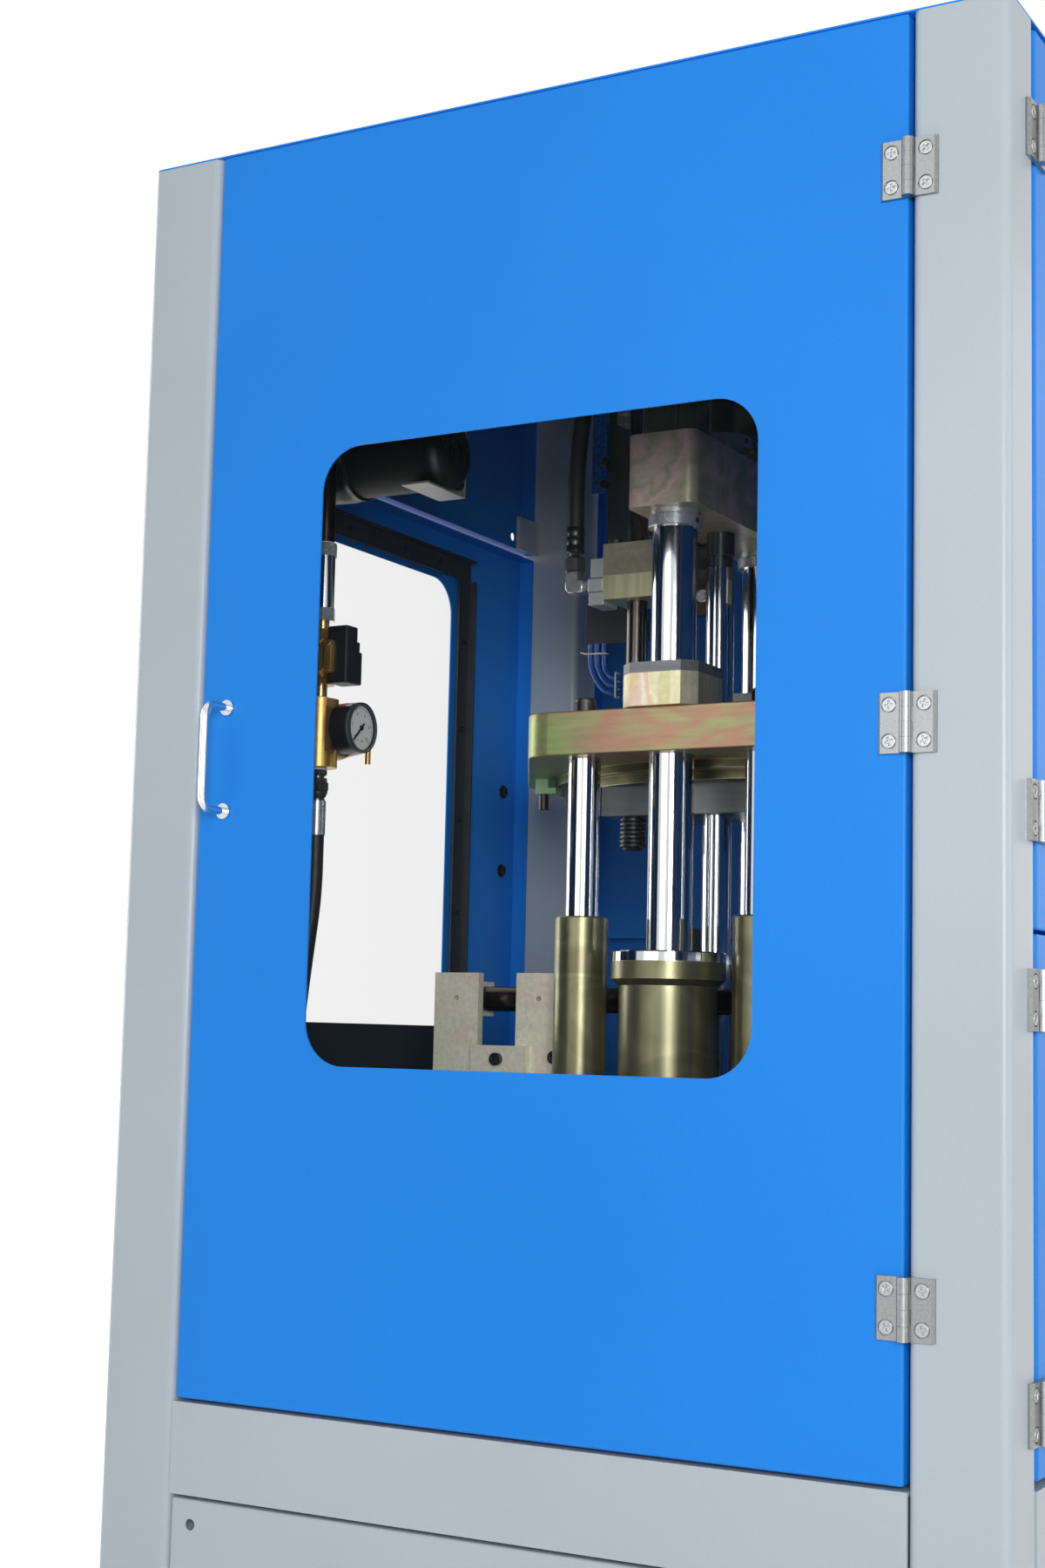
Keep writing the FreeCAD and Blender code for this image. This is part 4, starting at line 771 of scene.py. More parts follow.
def cutout(loops: list[Outline], depth: float, soft: float = 0.0) -> Mesh:
    """A flat shape with holes, given a thickness from z=0 upwards.

    Args:
        loops: Closed outlines; an inner one is a hole.
        depth: Thickness.
        soft: Radius on the edges.

    Returns:
        The mesh.
    """
    curve = bpy.data.curves.new("Outline", "CURVE")
    curve.dimensions, curve.fill_mode = "2D", "BOTH"
    curve.extrude = (depth / 2 - soft) * MM
    curve.bevel_depth, curve.offset = soft * MM, -soft * MM
    for loop in loops:
        line = curve.splines.new("POLY")
        line.points.add(len(loop) - 1)
        for point, (x, y) in zip(line.points, loop):
            point.co = (x * MM, y * MM, 0, 1)
        line.use_cyclic_u = True
    return moved(baked(held("Outline", curve)), shift(0, 0, depth / 2))


def joined(*meshes: Mesh) -> Mesh:
    """Several meshes as one.

    Args:
        meshes: What goes in.

    Returns:
        The mesh.
    """
    work = bmesh.new()
    for mesh in meshes:
        work.from_mesh(mesh)
    return ended(work, "Joined")


# ---------------------------------------------------------- geometry nodes
class Tree:
    """A geometry-node tree with named inputs, and a way to use it."""

    def __init__(self, name: str, inputs: dict[str, str]) -> None:
        """Name the tree's inputs: each with its kind of socket.

        Args:
            name: The tree's name.
            inputs: Each input's name and its kind of socket.
        """
        self.tree = bpy.data.node_groups.new(name, "GeometryNodeTree")
        face = self.tree.interface
        self.keys = {
            label: face.new_socket(label, in_out="INPUT",
                                   socket_type=f"NodeSocket{kind}")
            for label, kind in {"Shape": "Geometry", **inputs,
                                "Finish": "Material"}.items()}
        face.new_socket("Result", in_out="OUTPUT",
                        socket_type="NodeSocketGeometry")
        self.given = self.tree.nodes.new("NodeGroupInput").outputs

    def add(self, kind: str, items: dict,
            **choices: object) -> bpy.types.Node:
        """A node with choices, and values or links on its inputs."""
        return made(self.tree, kind, items, **choices)

    def close(self, last: Socket) -> None:
        """Make instances real, give them the finish and end the tree.

        Args:
            last: The geometry so far.
        """
        real = self.add("GeometryNodeRealizeInstances", {"Geometry": last})
        worn = self.add("GeometryNodeSetMaterial", {
            "Geometry": real.outputs[0], "Material": self.given["Finish"]})
        self.add("NodeGroupOutput", {0: worn.outputs[0]})

    def grow(self, base: Mesh, finish: Finish, **values: object) -> Mesh:
        """Run the tree on a mesh and keep the plain result.

        Args:
            base: The mesh that the tree starts from.
            finish: The finish of the result.
            values: The tree's other inputs.

        Returns:
            The mesh.
        """
        holder = held("Grown", base)
        nodes = holder.modifiers.new("Nodes", "NODES")
        nodes.node_group = self.tree
        for label, item in {**values, "Finish": finish.material()}.items():
            nodes[self.keys[label.replace("_", " ")].identifier] = item
        return baked(holder)


class Scatter(Tree):
    """Copies one small piece to many places, each facing its own way."""

    def __init__(self) -> None:
        """Instance the piece on points, turned to each point's facing."""
        super().__init__("RepeatedPieces", {
            "Piece": "Object", "Turn spread": "Float", "Seed": "Int"})
        ways = {i: self.add("GeometryNodeInputNamedAttribute", {
            "Name": label}, data_type="FLOAT_VECTOR").outputs[0]
            for i, label in enumerate(("facing", "up"))}
        aim = self.add("FunctionNodeAxesToRotation", ways,
                       primary_axis="Z", secondary_axis="Y")
        chance = self.add("FunctionNodeRandomValue", {
            3: self.given["Turn spread"], 8: self.given["Seed"]},
            data_type="FLOAT")
        spin = self.add("FunctionNodeAxisAngleToRotation",
                        {"Angle": chance.outputs[1]})
        turned = self.add("FunctionNodeRotateRotation", {
            "Rotation": aim.outputs[0], "Rotate_By": spin.outputs[0]},
            rotation_space="LOCAL")
        piece = self.add("GeometryNodeObjectInfo",
                         {"Object": self.given["Piece"]})
        self.close(self.add("GeometryNodeInstanceOnPoints", {
            "Points": self.given["Shape"],
            "Instance": piece.outputs["Geometry"],
            "Rotation": turned.outputs[0]}).outputs[0])

    def at(self, piece: Mesh, spots: Spots, finish: Finish,
           spread: float = 0.0, seed: int = 1, up: Point = UP) -> Mesh:
        """Copy a piece to every (place, facing).

        Args:
            piece: The mesh to copy; its Z faces out of the surface.
            spots: Places, each with the way that it faces.
            finish: The finish of all the copies.
            spread: Most turn about the facing, in radians.
            seed: Picks the turns.
            up: The way that the piece's Y points.

        Returns:
            One mesh with all the copies.
        """
        points = bpy.data.meshes.new("Spots")
        points.from_pydata([[c * MM for c in place] for place, _ in spots],
                           [], [])
        for label, rows in (("facing", [f for _, f in spots]),
                            ("up", [up] * len(spots))):
            values = points.attributes.new(label, "FLOAT_VECTOR", "POINT")
            values.data.foreach_set("vector", [c for r in rows for c in r])
        holder = bpy.data.objects.new("Piece", piece)
        grown = self.grow(points, finish, Piece=holder, Turn_spread=spread,
                          Seed=seed)
        bpy.data.objects.remove(holder)
        return grown


class Pipework(Tree):
    """Round tubes along smoothed routes."""

    def __init__(self) -> None:
        """Turn edges to curves, round their corners and sweep a circle."""
        super().__init__("TubesOnRoutes", {
            "Radius": "Float", "Bend": "Float", "Sides": "Int"})
        line = self.add("GeometryNodeMeshToCurve",
                        {"Mesh": self.given["Shape"]})
        soft = self.add("GeometryNodeFilletCurve", {
            "Curve": line.outputs[0], "Radius": self.given["Bend"],
            "Count": 6}, mode="POLY")
        ring = self.add("GeometryNodeCurvePrimitiveCircle", {
            "Resolution": self.given["Sides"],
            "Radius": self.given["Radius"]})
        self.close(self.add("GeometryNodeCurveToMesh", {
            "Curve": soft.outputs[0], "Profile_Curve": ring.outputs[0],
            "Fill_Caps": True}).outputs[0])

    def along(self, routes: list[list[Point]], radius: float, bend: float,
              finish: Finish, sides: int) -> Mesh:
        """Sweep a tube along each route of points.

        Args:
            routes: The points of each tube.
            radius: Half the tubes' thickness.
            bend: The radius of their corners.
            finish: Their finish.
            sides: Faces round them.

        Returns:
            One mesh with all the tubes.
        """
        verts, edges = [], []
        for route in routes:
            first = len(verts)
            verts += [[c * MM for c in point] for point in route]
            edges += [(i, i + 1) for i in range(first, len(verts) - 1)]
        base = bpy.data.meshes.new("Routes")
        base.from_pydata(verts, edges, [])
        mesh = self.grow(base, finish, Radius=radius * MM, Bend=bend * MM,
                         Sides=sides)
        mesh.shade_smooth()
        return mesh


SCATTER, PIPES = Scatter(), Pipework()


# ---------------------------------------------------------------- fasteners
class Drive(Enum):
    """The recess in a screw's head."""

    CROSS = "cross"
    SOCKET = "socket"


@dataclass(frozen=True)
class Screw:
    """A screw head with its drive recess."""

    radius: float
    height: float
    drive: Drive = Drive.SOCKET
    finish: Finish = BLACK_OXIDE

    def outline(self) -> Outline:
        """The recess seen from above.

        Returns:
            Its corners in order.
        """
        if self.drive is Drive.SOCKET:
            return ring_of(self.radius * 0.5, 6)
        arm, half = self.radius * 0.62, self.radius * 0.13
        return [(x * math.cos(a) - y * math.sin(a),
                 x * math.sin(a) + y * math.cos(a))
                for a in (i * math.pi / 2 for i in range(4))
                for x, y in ((arm, -half), (arm, half), (half, half))]

    def head(self) -> Mesh:
        """The head, from its seat at z=0 upwards.

        Returns:
            The mesh.
        """
        floor, overlap = self.height * 0.35, 0.01
        top = cutout([ring_of(self.radius, 20), self.outline()[::-1]],
                     self.height - floor, self.radius * 0.09)
        base = cutout([ring_of(self.radius * 0.98, 20)], floor + overlap)
        return joined(base, moved(top, shift(0, 0, floor)))

    def at(self, spots: Spots, seed: int) -> Mesh:
        """Heads at all these places, each turned by chance."""
        return SCATTER.at(self.head(), spots, self.finish, math.tau, seed)


HINGE_SCREW = Screw(6.8, 2.4, Drive.CROSS, ZINC)
TRIM_SCREW = Screw(4.4, 2.4)
GRIP_SCREW = Screw(7.2, 4.0)
CAP_SCREW = Screw(8.0, 7.5)
BLOCK_SCREW = Screw(10.0, 9.0)
STEEL_SCREW = Screw(6.0, 5.0, finish=ZINC)


def washer(outer: float, inner: float, height: float) -> Mesh:
    """A flat ring that lies on its seat at z=0."""
    return cutout([ring_of(outer, 24), ring_of(inner, 24)[::-1]], height,
                  height * 0.15)


# ----------------------------------------------------------------- cabinet
class Side(Enum):
    """A side of the cabinet, by the way that it faces."""

    FRONT = (0.0, -1.0, 0.0)
    LEFT = (-1.0, 0.0, 0.0)
    RIGHT = (1.0, 0.0, 0.0)


@dataclass
class Door:
    """A folded door with its leaves, handle and, on some, a window.

    The window is the plane of its inner strips and half its width.
    """

    body: str
    side: Side
    pins: list[Point]
    grip: Point
    nodes: dict[str, Finish]
    window: tuple[float, float] | None = None
    pitch: float = 18.0
    leaf_floor: float = 3.8
    grip_reach: float = 60.0
    skin: float = 2.0
    sill: float = 1275.0
    head: float = 1975.0

    def dress(self) -> None:
        """Give each CAD piece of the door its finish."""
        for node, finish in self.nodes.items():
            put_on = wear if finish in (CLEAR, DARK_TRIM) else polish
            put_on(node, finish)

    def leaf_spots(self, on_post: bool) -> Spots:
        """Screw places in the leaves on the door or on its post.

        Args:
            on_post: Whether it is the leaves on the post.

        Returns:
            The places.
        """
        facing = Vector(self.side.value)
        along = Vector((1, 0, 0) if self.side is Side.FRONT else (0, -1, 0))
        if not on_post:
            along.negate()
        return [(tuple(Vector(pin) - facing * self.leaf_floor
                       + along * self.pitch + Vector((0, 0, rise))),
                 tuple(facing))
                for pin in self.pins for rise in (-self.pitch, self.pitch)]

    def grip_spots(self) -> Spots:
        """Where the handle's screws come through, inside the door.

        Returns:
            The places.
        """
        inward = -Vector(self.side.value)
        base = Vector(self.grip) + inward * self.skin
        return [(tuple(base + Vector((0, 0, rise))), tuple(inward))
                for rise in (-self.grip_reach, self.grip_reach)]

    def trim_spots(self) -> Spots:
        """Small screws along the strips that hold the pane.

        Returns:
            The places.
        """
        plane, half = self.window
        inward = tuple(-Vector(self.side.value))
        out, inset = 23, 50
        flat = [(-half - out, z) for z in (1360, 1490, 1625, 1760, 1890)]
        flat += [(half + out, z) for _, z in flat]
        flat += [(x, z) for z in (self.head + out, self.sill - out) for x in
                 (-half + inset, -half / 3, half / 3, half - inset)]
        return [((across, plane, z) if self.side is Side.FRONT
                 else (plane, across, z), inward) for across, z in flat]

    def fasten(self) -> None:
        """Screws in the leaves, the handle and the window strips."""
        settle(f"{self.body}_leaf_screws",
               HINGE_SCREW.at(self.leaf_spots(False), 5),
               body=self.body)
        thick, holes = 1.4, self.grip_spots()
        seats = [(tuple(Vector(place) + Vector(way) * thick), way)
                 for place, way in holes]
        settle(f"{self.body}_handle_screws", joined(
            SCATTER.at(washer(10.5, 4, thick), holes, BLACK_OXIDE),
            GRIP_SCREW.at(seats, 7)), BLACK_OXIDE, self.body)
        if self.window:
            settle(f"{self.body}_trim_screws",
                   TRIM_SCREW.at(self.trim_spots(), 9),
                   body=self.body)


@dataclass
class Cabinet:
    """The welded frame, its fixed panels, and four hinged doors."""

    coats: dict[str, Finish] = field(default_factory=lambda: {
        "front_posts": GREY_COAT, "rear_posts": GREY_COAT,
        "frame_rails": GREY_COAT, "lower_panels": GREY_COAT,
        "upper_panels": BLUE_COAT, "levelling_feet": ZINC,
        "frame_hinge_leaves": HINGE_STEEL, "hinge_pins": HINGE_STEEL})

    def windowed(self, body: str, pane: str, *where: object) -> Door:
        """A door with a window, whose pieces are named alike."""
        side, pins, grip, window = where
        return Door(body, side, pins, grip, {
            body: BLUE_COAT, f"{body}_handle": BAR_CHROME,
            f"{body}_leaves": HINGE_STEEL, f"{pane}_window": CLEAR,
            f"{pane}_window_trim": DARK_TRIM}, window)

    def plain(self, level: str, pins: tuple[float, float], grip: float
              ) -> Door:
        """A door without a window, on the right side."""
        body = f"right_{level}_door"
        return Door(body, Side.RIGHT, [(540.8, -418, z) for z in pins],
                    (534, 377, grip), {
                        body: BLUE_COAT,
                        f"right_{level}_fittings": HINGE_STEEL})

    def doors(self) -> list[Door]:
        """The four doors with their hinge pins and handles."""
        return [
            self.windowed("front_door", "front", Side.FRONT, [
                (432, -506.8, z) for z in (2185, 1625, 1065)],
                (-391, -500, 1622), (-490, 270)),
            self.windowed("left_door", "left", Side.LEFT, [
                (-540.8, -418, z) for z in (1931, 1473, 1015)],
                (-534, 377, 1622), (-524, 215)),
            self.plain("upper", (2231, 1543), 1887),
            self.plain("lower", (1359, 969), 1164)]

    def build(self) -> None:
        """Dress the cabinet and its doors, and put in their screws."""
        for node, coat in self.coats.items():
            polish(node, coat)
        wear("roof_panel", BLUE_COAT)
        wear("panel_tabs", GREY_COAT)
        posts = []
        for door in self.doors():
            door.dress()
            door.fasten()
            posts += door.leaf_spots(True)
        settle("post_leaf_screws", HINGE_SCREW.at(posts, 11))


# ------------------------------------------------------------------- press
@dataclass
class Press:
    """The clamp press: bed, cylinders, sleeves, rods, platen and beam."""

    rod_y: float = 134.0
    side_x: float = 118.0
    beam_low: float = 1955.0
    manifold_split: float = 1908.0
    manifold_top: float = 1950.0
    corners: tuple[float, float] = (119.0, 134.0)
    screw_middle: float = 1720.0
    smooth: dict[str, Finish] = field(default_factory=lambda: {
        "column_sleeves": SLEEVE_GOLD, "clamp_cylinders": SLEEVE_GOLD,
        "cylinder_glands": CHROME, "upper_barrels": BARREL_GOLD,
        "clamp_hose": RUBBER, "guide_shaft": DARK_STEEL,
        "shaft_supports": PALE_GOLD_WITH_PAINTED_LIGHT, "moving_platen": PLATE_GOLD,
        "platen_columns": CHROME, "clamp_rods": CHROME,
        "rod_clamp_blocks": CREAM_GOLD, "rod_clamp_plates": MILLED,
        "mould_disc": SHADE_DARKENED_DISC_GOLD, "mould_block": MILLED,
        "platen_screws": BLACK_OXIDE, "air_tubes": TUBE_BLUE})

    def dress(self) -> None:
        """Finishes of the press; some pieces have more than one."""
        wear("bed_plate", MILLED)
        for node, metal in self.smooth.items():
            polish(node, metal)
        recast("head_plate",
               ("head_plate_steel", PLATE_GOLD, between(2240)),
               ("tube_hanger", DARK_TRIM, between(0, 2240)))
        recast("top_beam",
               ("beam", BEAM_GOLD_WITH_PAINTED_LIGHT, between(self.beam_low)),
               ("beam_stop", BRONZE_STEEL, between(0, self.beam_low)))
        recast("centre_column",
               ("centre_column_ground", CHROME, between(0, 1910)),
               ("centre_column_head", CRIMP_STEEL, between(1910)))
        split, top = self.manifold_split, self.manifold_top
        recast("manifold_blocks",
               ("manifold_lower_halves", BRIGHT_GOLD, between(0, split)),
               ("manifold_upper_halves", CLAY_GOLD, between(split, top)),
               ("manifold_arms", BRONZE_STEEL, between(top)))
        recast("side_rods", ("side_rod_bars", DARK_STEEL, between(1595)))
        recast("position_sensor",
               ("sensor_case", SENSOR_GREEN, between(1636)),
               ("sensor_gland", BLACK_PLASTIC, between(0, 1636)))

    def side_caps(self) -> None:
        """Ribbed caps under the mould block, on the side rods' ends."""
        profile = [(0, 0), (12.5, 0), (14, 3)]
        for low in (3 + i * 5.5 for i in range(7)):
            profile += [(14.5, low), (17, low + 1.4), (17, low + 3.8),
                        (14.5, low + 5.2)]
        profile += [(14.5, 42), (0, 42)]
        caps = [moved(lathe(profile, 40, 1553), shift(x, 0, 0))
                for x in (-self.side_x, self.side_x)]
        stand_in("side_rods", ("side_rod_caps", joined(*caps),
                               BLACK_PLASTIC))

    def collars(self) -> None:
        """Split rings on the rods under the beam and on the column."""
        rings, holes = [], []
        for y in (-self.rod_y, self.rod_y):
            rings.append(moved(lathe([
                (27.9, 0), (32.5, 0), (33.5, 1), (33.5, 13.5),
                (32.5, 14.5), (30.5, 14.5), (30.5, 21), (27.9, 21),
                (27.9, 0)], 64, 1934), shift(0, y, 0)))
            holes.append(self.side_spot(33.4, y, 1941, -11))
        rings.append(lathe([
            (18.4, 0), (38.5, 0), (39.5, 1), (39.5, 15), (38.5, 16),
            (18.4, 16), (18.4, 0)], 64, 2063))
        rings.append(lathe([(18.4, 0), (26, 0), (26, 17.9), (18.4, 17.9),
                            (18.4, 0)], 48, 2045))
        holes.append(self.side_spot(39.4, 0, 2071, -14))
        settle("rod_collars", joined(*rings), ZINC)
        # Painted shade: thin black discs on the collars' rims stand for the
        # shade inside their bores, and no bore is cut.
        shade_filled_bore = cutout([ring_of(3.8, 20)], 0.4)
        settle("collar_bores", SCATTER.at(shade_filled_bore, holes, DIAL_BLACK))

    def side_spot(self, radius: float, y: float, z: float, turn: float
                  ) -> tuple[Point, Point]:
        """A place on a ring's rim, and the way that it faces.

        Args:
            radius: The ring's radius.
            y: Where its middle is.
            z: Its height.
            turn: Degrees round from the right.

        Returns:
            The place and the way.
        """
        angle = math.radians(turn)
        way = (math.cos(angle), math.sin(angle), 0.0)
        return (radius * way[0], y + radius * way[1], z), way

    def screws(self) -> None:
        """Screws of the supports, the manifold, the beam's stop."""
        plates = [((sign * x, -118, z), FORWARD) for sign in (-1, 1)
                  for x, z in ((243.5, 1284), (243.5, 1040),
                               (160.5, 1288), (160.5, 1040))]
        plates += [((sign * 312.5, -106, z), FORWARD) for sign in (-1, 1)
                   for z in (1100, 1000)]
        settle("support_screws", CAP_SCREW.at(plates, 13))
        tops = [((sign * x, -12, self.manifold_top), UP)
                for sign in (-1, 1) for x in (144.4, 92)]
        settle("manifold_screws", BLOCK_SCREW.at(tops, 17))
        x, y, z, thick = -43.5, 40, 1886, 1.6
        settle("stop_screws", joined(
            SCATTER.at(washer(8.5, 4, thick), [((x, y, z), FORWARD)], ZINC),
            STEEL_SCREW.at([((x, y - thick, z), FORWARD)], 19)),
            ZINC)
        # Painted shade: a washer rim with a thin black disc inside it stands
        # for each open bore in the beam's stop. The disc is the shade in the
        # bore.
        shade_filled_bore = joined(washer(6.8, 4.5, 0.6), cutout([ring_of(4.4, 20)], 0.3))
        settle("stop_bores", SCATTER.at(
            shade_filled_bore, [((x, y, z), FORWARD) for z in (1941.6, 1915)],
            BLACK_OXIDE))

    def knurls(self) -> None:
        """The knurled sides of the platen's cap screws."""
        ridge = block((-0.45, -6, -0.2), (0.45, 6, 0.4))
        radius, count = 13, 40
        (far_x, far_y), z = self.corners, self.screw_middle
        spots = [((x + radius * a, y + radius * b, z), (a, b, 0.0))
                 for x in (-far_x, far_x) for y in (-far_y, far_y)
                 for a, b in circle(count)]
        settle("screw_knurls", SCATTER.at(ridge, spots, BLACK_OXIDE),
               body="platen")

    def fixtures(self) -> None:
        """Steel blocks under the head plate, and the hanger's strip."""
        settle("head_blocks", joined(
            block((-168, 30, 2126), (-146.5, 58, 2240), 1),
            block((-146, 30, 2126), (-127, 58, 2240), 1)),
            MILLED)
        settle("head_block_screws", STEEL_SCREW.at(
            [((-157.2, 30, 2142), FORWARD)], 23))
        settle("hanger_strip", block(
            (-292.5, 195.5, 2081), (-269, 198, 2200), 0.6),
            TUBE_BLUE)
        knob = lathe([(0, 0), (6.6, 0), (6.6, 4), (5.2, 5.8), (0, 6.6)], 24)
        settle("hanger_knobs", SCATTER.at(
            knob, [((-271.5, 195.5, z), FORWARD) for z in (2125, 2092)],
            BLACK_PLASTIC))

    def ties(self) -> None:
        """Nylon ties round the bundle of air tubes."""
        low, high, near, far, x = -297.5, -265.5, 196.0, 206.2, -249
        upright = [(low, near, 1851), (high, near, 1850), (high, far, 1850),
                   (low, far, 1851), (low, near, 1851)]
        level = [(x, near, 1787), (x, near, 1822), (x, far, 1822),
                 (x, far, 1787), (x, near, 1787)]
        tail = [(low, near, 1851), (low - 6, near - 4, 1853)]
        settle("tube_ties", PIPES.along([upright, level, tail], 1.3, 2,
                                        TIE_WHITE, 8))

    def build(self) -> None:
        """Dress the press and add its collars, caps and screws."""
        self.dress()
        self.side_caps()
        self.collars()
        self.screws()
        self.knurls()
        self.fixtures()
        self.ties()


@dataclass
class HoseFitting:
    """The stepped port, forged elbow, nut and ferrule of the clamp hose."""

    axis_x: float = -207.5
    y: float = -7.0
    z: float = 1902.0
    port_left: float = -173.5
    port_right: float = -153.5

    def port(self) -> Mesh:
        """Three stepped cast blocks on the manifold's side."""
        left, right, y = self.port_left, self.port_right, self.y
        return joined(*(
            block((left - out, y - half, low), (right, y + half, high), soft)
            for out, half, low, high, soft in (
                (0, 20, 1907.5, 1933, 1.2), (3.5, 21, 1889, 1907, 2),
                (2, 20, 1871, 1888.5, 1.2))))

    def elbow(self) -> Mesh:
        """A forged corner with a thread and a ring on its level arm.

        Returns:
            The mesh.
        """
        x, z, half = self.axis_x, self.z, 9.5
        forged = cutout([[(x + a, z + b) for a, b in (
            (-9.5, 19), (-9.5, -4), (-4.5, -9.5), (16.5, -9.5),
            (16.5, 6.5), (8.5, 6.5), (8.5, 19))]], 2 * half, 2.2)
        forged.transform(Matrix((
            (1, 0, 0, 0), (0, 0, -1, (self.y + half) * MM), (0, 1, 0, 0),
            (0, 0, 0, 1))))
        start = x + 16.5
        end = self.port_left + 1 - start
        arm = lathe([(0, 0), (7, 0), (5.2, 1), (6.8, 2), (5.2, 3), (6.8, 4),
                     (5.2, 5), (5.2, 6), (10, 6.5), (10, 10), (5.2, 10.5),
                     (5.2, end), (0, end)], 32, start)
        return joined(forged, moved(arm, frame_of((0, self.y, z),
                                                  SIDEWAYS)))

    def build(self) -> None:
        """Stand the detailed fitting in for the plain one."""
        place = shift(self.axis_x, self.y, 0)
        nut = lathe([(0, 19), (12.5, 19), (14.5, 21), (14.5, 37),
                     (12.5, 39), (0, 39)], 6, self.z)
        nut.transform(place @ Matrix.Rotation(math.radians(10), 4, "Z"))
        neck = lathe([(0, 39), (7.8, 39), (6.2, 41.5), (8, 44.2),
                      (0, 44.2)], 40, self.z)
        crimp = lathe([
            (0, 44.2), (11.2, 44.2), (12.2, 45.5), (12.2, 52), (11.6, 53.5),
            (11.6, 56), (12.2, 57.5), (12.2, 64), (11.6, 65.5), (11.6, 68),
            (12.2, 69.5), (12.2, 78), (11.2, 79.5), (0, 79.5)], 40, self.z)
        stand_in("hose_fitting",
                 ("hose_port", self.port(), CAST_ZINC),
                 ("hose_elbow", self.elbow(), ZINC),
                 ("hose_nut", joined(nut, moved(neck, place)), NUT_STEEL),
                 ("hose_ferrule", moved(crimp, place), CRIMP_STEEL))


# ---------------------------------------------------------------- silencer
@dataclass
class Silencer:
    """A cloth-wrapped drum between two end caps, on its folded shelf."""

    left: float = -470.0
    y: float = -200.0
    z: float = 2045.0
    length: float = 192.0
    radius: float = 45.0

    def along(self, profile: Outline, sides: int = 64,
              out: Point = (0, 0, 0)) -> Mesh:
        """A turned piece on the drum's axis, from its left end."""
        place = (self.left + out[0], self.y + out[1], self.z + out[2])
        return moved(lathe(profile, sides), frame_of(place, SIDEWAYS))

    def build(self) -> None:
        """Drum, caps, port rings, shelf and its screws."""
        r, end = self.radius, self.length
        left = self.along([(0, 0), *((r + a, b) for a, b in (
            (-3, 0), (3.5, 3), (4.2, 36), (2, 41), (2, 47), (3.4, 49),
            (3.4, 52), (0.6, 54), (-2, 55)))])
        right = self.along([*((r + a, end - b) for a, b in (
            (-2, 28), (0.8, 27), (1.4, 20), (0.8, 10), (-3, 4), (-9, 0))),
            (0, end)])
        boss = self.along([
            (14.5, 0), (14.5, 2.2), (10.5, 2.2), (10.5, 0.4), (7.5, 0.4),
            (7, 3), (3, 3.4), (0, 3.4)], 40, (end, 0, 0))
        port = self.along([(10, 0), (10, 1.4), (8, 1.4), (8, 0.2), (0, 0.2)],
                          32, (end, -26, 10))
        cloth = self.along([(r, 54), (r, end - 27)])
        stand_in("silencer_drum",
                 ("drum_caps", joined(left, right, boss, port), DRUM_SHELL),
                 ("drum_cloth", cloth, DRUM_CLOTH))
        near, far, low, thick = -245, -155, 1997, 3
        shelf = joined(
            block((-330, far, low), (-290, far + thick, 2240), 0.8),
            block((-330, near, low), (-290, far, low + thick), 0.8))
        stand_in("silencer_bracket", ("drum_shelf", shelf, SHELF_STEEL))
        settle("drum_shelf_screws", GRIP_SCREW.at(
            [((x, far, z), FORWARD) for x, z in
             ((-297.5, 2014), (-297.5, 2215), (-322.5, 2215))], 29))


# ---------------------------------------------------------------- air line
def nut(radius: float, low: float, high: float) -> Outline:
    """A nut's profile with chamfered ends."""
    bore, cut = 7, 1.5
    return [(bore, low), (radius * 0.88, low), (radius, low + cut),
            (radius, high - cut), (radius * 0.88, high), (bore, high)]


